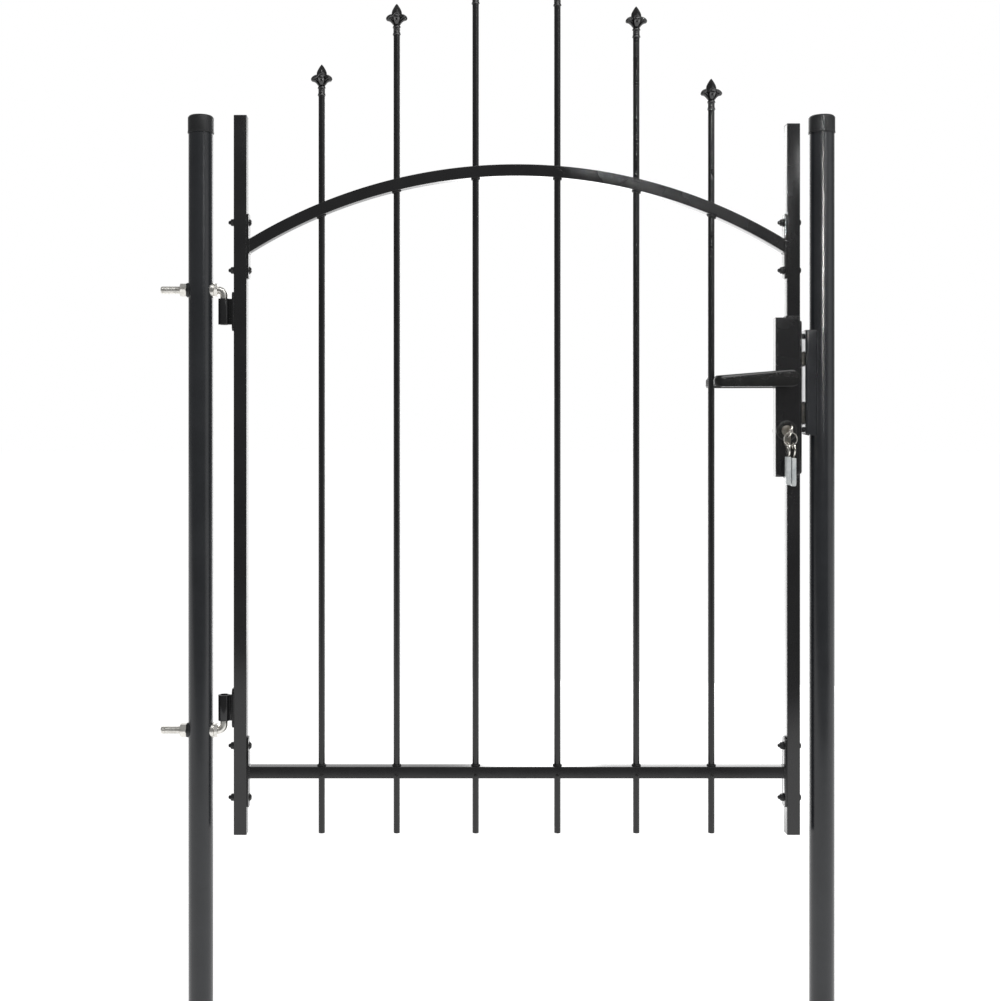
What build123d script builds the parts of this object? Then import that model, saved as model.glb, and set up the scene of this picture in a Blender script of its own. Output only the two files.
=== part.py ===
from build123d import *
from math import acos, asin, atan2, cos, degrees, hypot, sin, sqrt
import os

# Single-leaf garden gate of powder-coated tube, between two round posts.
# X runs from the hinge post to the latch post, -Y is the front, Z is up.
# The origin is the centre of the hinge post's foot. All sizes are in millimetres.

# Posts and their caps
POST_ABOVE_ARCH_END = 200.0
POST_DIAMETER = 38.0
POST_WALL = 1.5
POST_CENTRES = 962.0
CAP_SKIRT = 25.0
CAP_TOP = 2.0
CAP_WALL = 1.2
CAP_CHAMFER = 1.6

# Hinges: a bent pintle through the post, and an eye on the leaf
ROD_DIAMETER = 12.0
PIN_TO_POST = 17.0
PIN_BEND_RADIUS = 9.0
PIN_LENGTH = 46.0
STUD_LENGTH = 61.5
STUD_TO_EYE = 33.5
LOWER_EYE_LIFT = 1.5
EYE_WALL = 2.7
EYE_HEIGHT = 40.0
EYE_WEB = 6.0
HINGE_PLATE_HEIGHT = 60.0
HINGE_PLATE_THICKNESS = 3.0
HINGE_PLATE_CHAMFER = 4.0
EYE_TO_LEAF = 16.2
NUT_ACROSS_FLATS = 19.0
OUTER_NUT = 10.0
INNER_NUT = 6.0
WASHER_DIAMETER = 23.5
WASHER_EDGE = 2.0
SADDLE_DIAMETER = 22.5
SADDLE_EDGE = 2.5
HINGE_BELOW_ARCH_END = 101.0
HINGE_ABOVE_RAIL = 99.0

# Leaf frame
UPRIGHT_TUBE = 20.0
UPRIGHT_WALL = 1.5
UPRIGHT_CORNER = 1.8
UPRIGHT_BELOW_RAIL = 96.0
HINGE_UPRIGHT_ABOVE_ARCH_END = 202.0
LATCH_UPRIGHT_ABOVE_ARCH_END = 189.0
PLUG_LIP = 1.5
PLUG_DEPTH = 12.0
RAIL_TUBE = 18.0
RAIL_WALL = 1.5
RAIL_CORNER = 1.2
RAIL_HEIGHT = 487.0
ARCH_CROWN = 1417.0
ARCH_RADIUS = 790.0
END_PLATE_THICKNESS = 3.0
ARCH_PLATE_HEIGHT = 100.0
RAIL_PLATE_HEIGHT = 108.0
ARCH_BOLT_SPACING = 74.0
RAIL_BOLT_SPACING = 80.0
END_PLATE_CORNER = 4.0

# Bolts through the end plates
BOLT_DIAMETER = 6.0
BOLT_HEAD_DIAMETER = 11.0
BOLT_HEAD_RIM = 0.9
BOLT_HEAD_HEIGHT = 3.8
CAP_NUT_ACROSS_FLATS = 10.0
CAP_NUT_FLANGE_DIAMETER = 12.0
CAP_NUT_FLANGE = 1.4
CAP_NUT_HEX = 5.2
CAP_NUT_HEIGHT = 9.5

# Round bars and the rings where they enter the rails
BAR_DIAMETER = 10.0
BAR_OFFSETS = (-301.7, -185.5, -63.3, 63.3, 185.5, 301.7)
BAR_BELOW_RAIL = 95.0
BUSHING_WALL = 2.0
BUSHING_HEIGHT = 2.5

# Finials: heights are measured from the bar's end up
SPEAR_TIPS_ABOVE_CROWN = (165.0, 259.0, 307.0, 304.0, 255.0, 143.0)
SPEAR_HEIGHT = 49.5
COLLAR_HEIGHT = 15.6
COLLAR_PROUD = 0.3
BEAD_PROUD = 1.1
BEAD_HEIGHTS = (3.0, 13.9)
BEAD_LENGTH = 2.8
BUD_FOOT_HEIGHT = 14.0
BUD_FOOT_RADIUS = 3.5
BUD_WIDEST_HEIGHT = 35.5
BUD_RADIUS = 7.4
BUD_POINT_RADIUS = 0.4
PETAL_REACH = 16.8
PETAL_CREST_HEIGHT = 33.5
PETAL_LOBE_HEIGHT = 22.8
PETAL_WIDTH = 10.4

# Lock in the latch upright
LOCK_BELOW_ARCH_END = 110.5
LOCK_HEIGHT = 246.0
LOCK_WIDTH = 37.5
LOCK_DEPTH = 22.0
LOCK_WALL = 1.5
FACEPLATE_THICKNESS = 2.5
FACEPLATE_WIDTH = 20.0
FACEPLATE_CORNER = 3.0
FACEPLATE_MARGIN = 5.0
LOCK_BACKSET = 23.8
SPINDLE_BELOW_TOP = 94.5
CYLINDER_BELOW_TOP = 175.0
LATCH_BELOW_TOP = 63.5
DEADBOLT_BELOW_TOP = 147.5
LATCH_HEIGHT = 20.0
DEADBOLT_HEIGHT = 32.0
BOLT_THICKNESS = 12.0
BOLT_THROW = 9.7
BOLT_TAIL = 14.0
LATCH_BEVEL = 7.0

# Keeper on the latch post
LATCH_GAP = 5.2
KEEPER_DEPTH = 9.5
KEEPER_WIDTH = 30.0
KEEPER_SHEET = 2.5
KEEPER_BEND = 3.0
KEEPER_HEIGHT = 164.0
KEEPER_BELOW_TOP = 19.5
KEEPER_WINDOW_PLAY = 1.5

# Lever handles
SPINDLE_SIDE = 8.0
LEVER_LENGTH = 116.0
LEVER_HUB_RADIUS = 13.0
LEVER_NECK_RADIUS = 8.0
LEVER_STANDOFF = 22.0
LEVER_THICKNESS = 10.0
LEVER_BEVEL = 3.0
LEVER_TIP_ABOVE_AXIS = 3.5
LEVER_TIP_BELOW_AXIS = 13.5
LEVER_RETURN = 16.0
LEVER_RETURN_RADIUS = 13.0

# Cylinder and keys
ROSETTE_DIAMETER = 32.0
ROSETTE_THICKNESS = 2.5
CYLINDER_RADIUS = 8.5
CYLINDER_BODY_WIDTH = 10.0
CYLINDER_BODY_DROP = 24.0
CYLINDER_PROUD = 3.0
KEY_THICKNESS = 2.2
KEY_BOW_DIAMETER = 22.0
KEY_BOW_HOLE = 7.0
KEY_BOW_EDGE = 2.5
KEY_SHANK = 7.0
KEY_NECK = 1.0
KEY_LEAN = 13.0
KEY_RING_RADIUS = 10.0
KEY_RING_WIRE = 1.6
SPARE_KEY_BLADE = 42.0
SPARE_KEY_BLADE_WIDTH = 8.0
SPARE_KEY_SPREAD = 4.0
SLEEVE_LENGTH = 43.0
SLEEVE_END = 2.0
SLEEVE_THICKNESS = 6.0
SLEEVE_WIDTH = 12.0

# Clearances
SLIP = 0.3
SEAT = 0.1

# Flats of the small round parts that repeat, and of the holes that they hide
FLATS = 12
BOLT_FLATS = 8

# Places worked out from the sizes above
POST_RADIUS = POST_DIAMETER / 2
BAR_RADIUS = BAR_DIAMETER / 2
ROD_RADIUS = ROD_DIAMETER / 2
PIN_OFFSET = POST_RADIUS + PIN_TO_POST
EYE_RADIUS = ROD_RADIUS + SLIP + EYE_WALL
HINGE_FACE = PIN_OFFSET + EYE_TO_LEAF
FACEPLATE_FACE = POST_CENTRES - POST_RADIUS - KEEPER_DEPTH - LATCH_GAP
LATCH_FACE = FACEPLATE_FACE - FACEPLATE_THICKNESS
HINGE_UPRIGHT_X = HINGE_FACE + UPRIGHT_TUBE / 2
LATCH_UPRIGHT_X = LATCH_FACE - UPRIGHT_TUBE / 2
LEAF_CENTRE = (HINGE_UPRIGHT_X + LATCH_UPRIGHT_X) / 2
RAIL_START = HINGE_FACE + UPRIGHT_TUBE + END_PLATE_THICKNESS
RAIL_END = LATCH_FACE - UPRIGHT_TUBE - END_PLATE_THICKNESS
ARCH_CENTRE_HEIGHT = ARCH_CROWN - ARCH_RADIUS
ARCH_END_HEIGHT = ARCH_CENTRE_HEIGHT + sqrt(ARCH_RADIUS**2 - (LEAF_CENTRE - RAIL_START) ** 2)
POST_HEIGHT = ARCH_END_HEIGHT + POST_ABOVE_ARCH_END
LEAF_BOTTOM = RAIL_HEIGHT - UPRIGHT_BELOW_RAIL
HINGE_UPRIGHT_TOP = ARCH_END_HEIGHT + HINGE_UPRIGHT_ABOVE_ARCH_END
LATCH_UPRIGHT_TOP = ARCH_END_HEIGHT + LATCH_UPRIGHT_ABOVE_ARCH_END
BAR_BOTTOM = RAIL_HEIGHT - BAR_BELOW_RAIL
UPPER_EYE = ARCH_END_HEIGHT - HINGE_BELOW_ARCH_END
LOWER_EYE = RAIL_HEIGHT + HINGE_ABOVE_RAIL
LOCK_TOP = ARCH_END_HEIGHT - LOCK_BELOW_ARCH_END
LOCK_BOTTOM = LOCK_TOP - LOCK_HEIGHT
LOCK_AXIS_X = FACEPLATE_FACE - LOCK_BACKSET
SPINDLE_HEIGHT = LOCK_TOP - SPINDLE_BELOW_TOP
CYLINDER_HEIGHT = LOCK_TOP - CYLINDER_BELOW_TOP
LATCH_CENTRE = LOCK_TOP - LATCH_BELOW_TOP
DEADBOLT_CENTRE = LOCK_TOP - DEADBOLT_BELOW_TOP
UPPER_EYE_STUD = UPPER_EYE + STUD_TO_EYE
LOWER_EYE_STUD = LOWER_EYE - STUD_TO_EYE - LOWER_EYE_LIFT

nodes = {}


def add(name, *shapes):
    """Put the solids of these shapes under a node's name."""
    for shape in shapes:
        pieces = shape if isinstance(shape, list) else [shape]
        for piece in pieces:
            nodes.setdefault(name, []).extend(piece.solids())


def block(x0, x1, y0, y1, z0, z1):
    """A box between two corners."""
    centre = ((x0 + x1) / 2, (y0 + y1) / 2, (z0 + z1) / 2)
    return Pos(*centre) * Box(x1 - x0, y1 - y0, z1 - z0)


def rod_x(radius, x0, x1, y, z):
    """A round rod along X."""
    return Pos((x0 + x1) / 2, y, z) * Rot(0, 90, 0) * Cylinder(radius, x1 - x0)


def rod_y(radius, y0, y1, x, z):
    """A round rod along Y."""
    return Pos(x, (y0 + y1) / 2, z) * Rot(90, 0, 0) * Cylinder(radius, y1 - y0)


def rod_z(radius, z0, z1, x, y=0.0):
    """A round rod along Z."""
    return Pos(x, y, (z0 + z1) / 2) * Cylinder(radius, z1 - z0)


def prism_x(inner_radius, sides, x0, x1, z):
    """A bar along X of so many flats, each inner_radius from its centre line, one facing the front."""
    outline = RegularPolygon(inner_radius, sides, major_radius=False, rotation=180 / sides)
    return Pos(x0, 0, z) * extrude(Plane.YZ * outline, x1 - x0)


def prism_z(inner_radius, sides, z0, z1, x):
    """A bar along Z of so many flats, each inner_radius from its centre line."""
    outline = RegularPolygon(inner_radius, sides, major_radius=False)
    return Pos(x, 0, z0) * extrude(outline, z1 - z0)


def turned(sides, *stations):
    """A form along Z with flats for its round, through (corner radius, height) stations."""
    sections = [Pos(0, 0, height) * RegularPolygon(radius, sides) for radius, height in stations]
    return loft(sections, ruled=True)


# Posts

def post(x):
    """A round tube, open at the foot."""
    return rod_z(POST_RADIUS, 0, POST_HEIGHT, x) - rod_z(POST_RADIUS - POST_WALL, 0, POST_HEIGHT, x)


def post_cap(x):
    """A plastic cap pushed over the tube's top."""
    outer_radius = POST_RADIUS + SEAT + CAP_WALL
    shell = rod_z(outer_radius, POST_HEIGHT - CAP_SKIRT, POST_HEIGHT + CAP_TOP, x)
    shell = chamfer(shell.edges().sort_by(Axis.Z)[-1], CAP_CHAMFER)
    return shell - rod_z(POST_RADIUS + SEAT, POST_HEIGHT - CAP_SKIRT, POST_HEIGHT, x)


STUD_HEIGHTS = (UPPER_EYE_STUD, LOWER_EYE_STUD)
hinge_post = post(0)
for stud_height in STUD_HEIGHTS:
    hinge_post -= prism_x(ROD_RADIUS + SLIP, FLATS, -POST_DIAMETER, POST_DIAMETER, stud_height)
add("hinge_post", hinge_post)
add("latch_post", post(POST_CENTRES))
add("post_caps", post_cap(0), post_cap(POST_CENTRES))


# Hinges

def pintle(stud_height, turn):
    """A rod through the post, bent to a pin that runs up (turn 1) or down (turn -1)."""
    bend_x = PIN_OFFSET - PIN_BEND_RADIUS
    with BuildPart() as rod:
        with BuildLine(Plane.XZ):
            corner = stud_height + turn * PIN_BEND_RADIUS
            straight = Line((-STUD_LENGTH, stud_height), (bend_x, stud_height))
            bend = TangentArc(straight @ 1, (PIN_OFFSET, corner), tangent=straight % 1)
            Line(bend @ 1, (PIN_OFFSET, stud_height + turn * PIN_LENGTH))
        with BuildSketch(Plane((-STUD_LENGTH, 0, stud_height), x_dir=(0, 1, 0), z_dir=(1, 0, 0))):
            Circle(ROD_RADIUS)
        sweep()
    return rod.part


def hinge_eye(height):
    """The barrel on the leaf that the pin turns in, with the web that joins it to its plate."""
    low, high = height - EYE_HEIGHT / 2, height + EYE_HEIGHT / 2
    plate_face = HINGE_FACE - HINGE_PLATE_THICKNESS
    web = block(PIN_OFFSET, plate_face, -EYE_WEB / 2, EYE_WEB / 2, low, high)
    barrel = rod_z(EYE_RADIUS, low, high, PIN_OFFSET) + web
    return barrel - rod_z(ROD_RADIUS + SLIP, low, high, PIN_OFFSET)


def hinge_plate(height):
    """The flat plate, with its corners cut off, that is welded to the hinge upright."""
    half = HINGE_PLATE_HEIGHT / 2
    side = UPRIGHT_TUBE / 2
    plate = block(HINGE_FACE - HINGE_PLATE_THICKNESS, HINGE_FACE, -side, side, height - half, height + half)
    return chamfer(plate.edges().filter_by(Axis.X), HINGE_PLATE_CHAMFER)


def saddle(diameter, x_near, x_far, stud_height):
    """A washer whose inner side is hollowed to sit on the round post."""
    washer = rod_x(diameter / 2, min(x_near, x_far), max(x_near, x_far), 0, stud_height)
    washer -= prism_x(ROD_RADIUS + SLIP, FLATS, -POST_DIAMETER, POST_DIAMETER, stud_height)
    return washer - rod_z(POST_RADIUS + SEAT, 0, POST_HEIGHT, 0)


def hinge_nut(x0, x1, stud_height):
    """A hexagon nut on the stud."""
    hexagon = prism_x(NUT_ACROSS_FLATS / 2, 6, x0, x1, stud_height)
    return hexagon - prism_x(ROD_RADIUS + SEAT, FLATS, x0, x1, stud_height)


SADDLE_FACE = POST_RADIUS + SADDLE_EDGE
WASHER_FACE = POST_RADIUS + WASHER_EDGE
add("upper_pintle", pintle(UPPER_EYE_STUD, -1))
add("lower_pintle", pintle(LOWER_EYE_STUD, 1))
for name, eye_height, stud_height in (
    ("upper", UPPER_EYE, UPPER_EYE_STUD),
    ("lower", LOWER_EYE, LOWER_EYE_STUD),
):
    add(name + "_hinge_eye", hinge_eye(eye_height))
    add("hinge_plates", hinge_plate(eye_height))
    add("saddle_washers", saddle(SADDLE_DIAMETER, -SADDLE_FACE, -POST_RADIUS / 2, stud_height))
    add("hinge_washers", saddle(WASHER_DIAMETER, WASHER_FACE, POST_RADIUS / 2, stud_height))
    add("hinge_nuts", hinge_nut(-SADDLE_FACE - OUTER_NUT, -SADDLE_FACE, stud_height))
    add("hinge_nuts", hinge_nut(WASHER_FACE, WASHER_FACE + INNER_NUT, stud_height))


# Uprights

def square_tube(x, z0, z1):
    """A length of square tube along Z, with rounded outer corners."""
    side = UPRIGHT_TUBE
    bore = UPRIGHT_TUBE - 2 * UPRIGHT_WALL
    outline = RectangleRounded(side, side, UPRIGHT_CORNER) - Rectangle(bore, bore)
    return Pos(x, 0, z0) * extrude(outline, z1 - z0)


def plug(x, end, inward):
    """A plastic plug in a tube's end: a flat lip and a shank, inward being 1 up or -1 down."""
    side = UPRIGHT_TUBE
    bore = UPRIGHT_TUBE - 2 * UPRIGHT_WALL - 2 * SEAT
    lip = extrude(RectangleRounded(side, side, UPRIGHT_CORNER), -inward * PLUG_LIP)
    shank = extrude(Rectangle(bore, bore), inward * PLUG_DEPTH)
    return Pos(x, 0, end) * (lip + shank)


def bolt_heights(centre, spacing):
    """The two heights of the bolts in an end plate."""
    return (centre - spacing / 2, centre + spacing / 2)


RAIL_BOLTS = bolt_heights(RAIL_HEIGHT, RAIL_BOLT_SPACING)
ARCH_BOLTS = bolt_heights(ARCH_END_HEIGHT, ARCH_BOLT_SPACING)
BOLT_HEIGHTS = (*RAIL_BOLTS, *ARCH_BOLTS)
hinge_upright = square_tube(HINGE_UPRIGHT_X, LEAF_BOTTOM + PLUG_LIP, HINGE_UPRIGHT_TOP - PLUG_LIP)
latch_upright_bottom = square_tube(LATCH_UPRIGHT_X, LEAF_BOTTOM + PLUG_LIP, LOCK_BOTTOM)
latch_upright_top = square_tube(LATCH_UPRIGHT_X, LOCK_TOP, LATCH_UPRIGHT_TOP - PLUG_LIP)
for height in BOLT_HEIGHTS:
    hole = prism_x(BOLT_DIAMETER / 2 + SLIP, BOLT_FLATS, 0, POST_CENTRES, height)
    hinge_upright -= hole
    latch_upright_bottom -= hole
    latch_upright_top -= hole
add("hinge_upright", hinge_upright)
add("latch_upright_bottom", latch_upright_bottom)
add("latch_upright_top", latch_upright_top)
add("upright_plugs", plug(HINGE_UPRIGHT_X, LEAF_BOTTOM + PLUG_LIP, 1))
add("upright_plugs", plug(HINGE_UPRIGHT_X, HINGE_UPRIGHT_TOP - PLUG_LIP, -1))
add("upright_plugs", plug(LATCH_UPRIGHT_X, LEAF_BOTTOM + PLUG_LIP, 1))
add("upright_plugs", plug(LATCH_UPRIGHT_X, LATCH_UPRIGHT_TOP - PLUG_LIP, -1))


# Arch and bottom rail

def disc(radius, thickness):
    """A disc about the arch's centre, with its axis along Y."""
    return rod_y(radius, -thickness / 2, thickness / 2, LEAF_CENTRE, ARCH_CENTRE_HEIGHT)


def arch_band(inner_radius, outer_radius, thickness, corner=0.0):
    """The part of a ring between the end plates and above the arch's centre."""
    ring = disc(outer_radius, thickness) - disc(inner_radius, thickness)
    if corner:
        ring = chamfer(ring.edges().filter_by(GeomType.CIRCLE), corner)
    window = block(RAIL_START, RAIL_END, -thickness, thickness, ARCH_CENTRE_HEIGHT, 2 * ARCH_CROWN)
    return ring & window


BAR_PLACES = [LEAF_CENTRE + offset for offset in BAR_OFFSETS]
ARCH_INNER = ARCH_RADIUS - RAIL_TUBE / 2
ARCH_OUTER = ARCH_RADIUS + RAIL_TUBE / 2
arch_rail = arch_band(ARCH_INNER, ARCH_OUTER, RAIL_TUBE, RAIL_CORNER)
arch_rail -= arch_band(ARCH_INNER + RAIL_WALL, ARCH_OUTER - RAIL_WALL, RAIL_TUBE - 2 * RAIL_WALL)
rail_low, rail_high = RAIL_HEIGHT - RAIL_TUBE / 2, RAIL_HEIGHT + RAIL_TUBE / 2
bottom_rail = block(RAIL_START, RAIL_END, -RAIL_TUBE / 2, RAIL_TUBE / 2, rail_low, rail_high)
bottom_rail = chamfer(bottom_rail.edges().filter_by(Axis.X), RAIL_CORNER)
bottom_rail -= block(
    RAIL_START,
    RAIL_END,
    -RAIL_TUBE / 2 + RAIL_WALL,
    RAIL_TUBE / 2 - RAIL_WALL,
    rail_low + RAIL_WALL,
    rail_high - RAIL_WALL,
)
for x in BAR_PLACES:
    arch_rail -= prism_z(BAR_RADIUS + SLIP, FLATS, ARCH_CENTRE_HEIGHT, 2 * ARCH_CROWN, x)
    bottom_rail -= prism_z(BAR_RADIUS + SLIP, FLATS, rail_low, rail_high, x)
add("arch_rail", arch_rail)
add("bottom_rail", bottom_rail)


def end_plate(x0, height, tall, spacing):
    """A bolted plate on the end of a rail, with its corners cut off and two holes."""
    half = UPRIGHT_TUBE / 2
    plate = block(x0, x0 + END_PLATE_THICKNESS, -half, half, height - tall / 2, height + tall / 2)
    plate = chamfer(plate.edges().filter_by(Axis.X), END_PLATE_CORNER)
    for bolt_height in bolt_heights(height, spacing):
        plate -= prism_x(BOLT_DIAMETER / 2 + SLIP, BOLT_FLATS, x0, x0 + END_PLATE_THICKNESS, bolt_height)
    return plate


for x0 in (RAIL_START - END_PLATE_THICKNESS, RAIL_END):
    add("end_plates", end_plate(x0, ARCH_END_HEIGHT, ARCH_PLATE_HEIGHT, ARCH_BOLT_SPACING))
    add("end_plates", end_plate(x0, RAIL_HEIGHT, RAIL_PLATE_HEIGHT, RAIL_BOLT_SPACING))


def flange_bolt(head_face, shank_end):
    """A bolt along X: its domed head bears on head_face, and its shank runs to the nut's face."""
    head = turned(
        FLATS,
        (BOLT_HEAD_DIAMETER / 2, 0),
        (BOLT_HEAD_DIAMETER / 2, BOLT_HEAD_RIM),
        (BOLT_HEAD_DIAMETER * 0.36, BOLT_HEAD_HEIGHT * 0.75),
        (BOLT_HEAD_DIAMETER * 0.18, BOLT_HEAD_HEIGHT),
    )
    out = 1 if head_face > shank_end else -1
    shank = prism_x(BOLT_DIAMETER / 2, BOLT_FLATS, min(head_face, shank_end), max(head_face, shank_end), 0)
    return Pos(head_face, 0, 0) * Rot(0, 90 * out, 0) * head + shank


def cap_nut(face):
    """A flanged hexagon nut with a closed, pointed end, whose flange bears on face from below in X."""
    flange = turned(FLATS, (CAP_NUT_FLANGE_DIAMETER / 2, 0), (CAP_NUT_FLANGE_DIAMETER / 2, CAP_NUT_FLANGE))
    dome = turned(
        FLATS,
        (CAP_NUT_ACROSS_FLATS / 2, CAP_NUT_HEX),
        (CAP_NUT_ACROSS_FLATS * 0.4, CAP_NUT_HEX + (CAP_NUT_HEIGHT - CAP_NUT_HEX) * 0.5),
        (CAP_NUT_ACROSS_FLATS * 0.08, CAP_NUT_HEIGHT),
    )
    hexagon = prism_x(CAP_NUT_ACROSS_FLATS / 2, 6, face - CAP_NUT_HEX, face - CAP_NUT_FLANGE, 0)
    return Pos(face, 0, 0) * Rot(0, -90, 0) * (flange + dome) + hexagon


HINGE_GRIP = (HINGE_FACE, RAIL_START)
LATCH_GRIP = (RAIL_END, LATCH_FACE)
for height in BOLT_HEIGHTS:
    for nut_face, head_face in (HINGE_GRIP, LATCH_GRIP):
        add("flange_bolts", Pos(0, 0, height) * flange_bolt(head_face, nut_face))
        add("cap_nuts", Pos(0, 0, height) * cap_nut(nut_face))


# Bars, bushings and finials

def collar():
    """The finial's socket on the bar's end, with a bead near its foot and one near its top."""
    plain = BAR_RADIUS + COLLAR_PROUD
    stations = [(plain, 0)]
    for height in BEAD_HEIGHTS:
        stations.append((plain, height - BEAD_LENGTH / 2))
        stations.append((BAR_RADIUS + BEAD_PROUD, height))
        stations.append((plain, height + BEAD_LENGTH / 2))
    stations.append((plain, COLLAR_HEIGHT))
    return turned(FLATS, *stations)


def bud():
    """The pointed bud: four flanks that meet in ridges, fullest above the petals."""
    above = SPEAR_HEIGHT - BUD_WIDEST_HEIGHT
    below = BUD_WIDEST_HEIGHT - BUD_FOOT_HEIGHT
    return turned(
        4,
        (BUD_FOOT_RADIUS, BUD_FOOT_HEIGHT),
        (BUD_RADIUS * 0.68, BUD_FOOT_HEIGHT + below * 0.65),
        (BUD_RADIUS, BUD_WIDEST_HEIGHT),
        (BUD_RADIUS * 0.73, BUD_WIDEST_HEIGHT + above * 0.46),
        (BUD_RADIUS * 0.42, BUD_WIDEST_HEIGHT + above * 0.75),
        (BUD_POINT_RADIUS, SPEAR_HEIGHT),
    )


def petal():
    """One petal along X: a side outline that rises, curls over and droops, cut to a leaf's width."""
    root, crest, lobe, reach = COLLAR_HEIGHT, PETAL_CREST_HEIGHT, PETAL_LOBE_HEIGHT, PETAL_REACH
    side = Polygon(
        (reach * 0.12, root - 0.8),
        (reach * 0.33, root - 0.6),
        (reach * 0.46, (root + lobe) / 2),
        (reach * 0.68, lobe - 0.6),
        (reach * 0.89, lobe),
        (reach, lobe + 2.4),
        (reach * 0.97, crest - 4.7),
        (reach * 0.77, crest - 1.3),
        (reach * 0.5, crest),
        (reach * 0.27, crest - 3.5),
        align=None,
    )
    half = PETAL_WIDTH / 2
    front = Polygon(
        (-half * 0.5, root - 1.6),
        (half * 0.5, root - 1.6),
        (half * 0.96, lobe + 1.7),
        (half, crest - 4.5),
        (half * 0.6, crest + 0.5),
        (-half * 0.6, crest + 0.5),
        (-half, crest - 4.5),
        (-half * 0.96, lobe + 1.7),
        align=None,
    )
    return extrude(Plane.XZ * side, half, both=True) & extrude(Plane.YZ * front, reach)


def spear():
    """A cast finial: a beaded collar on the bar's end, four drooping petals and a pointed bud."""
    body = collar() + bud()
    for quarter in range(4):
        body += Rot(0, 0, 90 * quarter) * petal()
    return body


def ring(x, z0, z1):
    """A bushing's ring round a bar."""
    bore = prism_z(BAR_RADIUS + SEAT, FLATS, z0, z1, x)
    return prism_z(BAR_RADIUS + SEAT + BUSHING_WALL, FLATS, z0, z1, x) - bore


def arch_bushing(x):
    """A ring whose ends are sloped to seat on the arch's underside."""
    seat_radius = ARCH_INNER - SEAT
    offset = x - LEAF_CENTRE
    seat_height = ARCH_CENTRE_HEIGHT + sqrt(seat_radius**2 - offset**2)
    slab = block(-RAIL_TUBE, RAIL_TUBE, -RAIL_TUBE, RAIL_TUBE, -BUSHING_HEIGHT, 0)
    sloped = Pos(x, 0, seat_height) * Rot(0, degrees(asin(offset / seat_radius)), 0) * slab
    return ring(x, seat_height - 2 * RAIL_TUBE, seat_height + 2 * RAIL_TUBE) & sloped


finial = spear()
for number, (x, above_crown) in enumerate(zip(BAR_PLACES, SPEAR_TIPS_ABOVE_CROWN), start=1):
    bar_top = ARCH_CROWN + above_crown - SPEAR_HEIGHT
    add(f"bar_{number}", rod_z(BAR_RADIUS, BAR_BOTTOM, bar_top, x))
    add(f"spear_{number}", Pos(x, 0, bar_top) * finial)
    add("rail_bushings", ring(x, rail_high, rail_high + BUSHING_HEIGHT))
    add("arch_bushings", arch_bushing(x))


# Lock

CASE_LEFT = LATCH_FACE - LOCK_WIDTH
HALF_DEPTH = LOCK_DEPTH / 2


def cylinder_profile(y0, y1, play=0.0):
    """The keyhole-shaped body of a profile cylinder, along Y."""
    top = rod_y(CYLINDER_RADIUS + play, y0, y1, LOCK_AXIS_X, CYLINDER_HEIGHT)
    half = CYLINDER_BODY_WIDTH / 2 + play
    foot = CYLINDER_HEIGHT - CYLINDER_BODY_DROP - play
    return top + block(LOCK_AXIS_X - half, LOCK_AXIS_X + half, y0, y1, foot, CYLINDER_HEIGHT)


def bolt_window(height, tall, play, x0, x1):
    """The hole that a bolt's head slides through."""
    half, rise = BOLT_THICKNESS / 2 + play, tall / 2 + play
    return block(x0, x1, -half, half, height - rise, height + rise)


lock_case = block(CASE_LEFT, LATCH_FACE, -HALF_DEPTH, HALF_DEPTH, LOCK_BOTTOM, LOCK_TOP)
lock_case -= block(
    CASE_LEFT + LOCK_WALL,
    LATCH_FACE - LOCK_WALL,
    -HALF_DEPTH + LOCK_WALL,
    HALF_DEPTH - LOCK_WALL,
    LOCK_BOTTOM + LOCK_WALL,
    LOCK_TOP - LOCK_WALL,
)
lock_case -= rod_y(LEVER_NECK_RADIUS + SLIP, -HALF_DEPTH, HALF_DEPTH, LOCK_AXIS_X, SPINDLE_HEIGHT)
lock_case -= cylinder_profile(-HALF_DEPTH, HALF_DEPTH, SEAT)
BOLTS = ((LATCH_CENTRE, LATCH_HEIGHT), (DEADBOLT_CENTRE, DEADBOLT_HEIGHT))
for height, tall in BOLTS:
    lock_case -= bolt_window(height, tall, SLIP, LATCH_FACE - LOCK_WALL, LATCH_FACE)
add("lock_case", lock_case)

faceplate = block(
    LATCH_FACE,
    FACEPLATE_FACE,
    -FACEPLATE_WIDTH / 2,
    FACEPLATE_WIDTH / 2,
    LOCK_BOTTOM + FACEPLATE_MARGIN,
    LOCK_TOP - FACEPLATE_MARGIN,
)
faceplate = chamfer(faceplate.edges().filter_by(Axis.X), FACEPLATE_CORNER)
for height, tall in BOLTS:
    faceplate -= bolt_window(height, tall, SLIP, LATCH_FACE, FACEPLATE_FACE)
add("lock_faceplate", faceplate)

bolt_tip = FACEPLATE_FACE + BOLT_THROW
latch_bolt = bolt_window(LATCH_CENTRE, LATCH_HEIGHT, 0, LATCH_FACE - BOLT_TAIL, bolt_tip)
latch_nose = latch_bolt.edges().filter_by(Axis.Z).sort_by(Axis.X)[-2:].sort_by(Axis.Y)[-1]
add("latch_bolt", chamfer(latch_nose, LATCH_BEVEL))
add("deadbolt", bolt_window(DEADBOLT_CENTRE, DEADBOLT_HEIGHT, 0, LATCH_FACE - BOLT_TAIL, bolt_tip))


# Keeper

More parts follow.
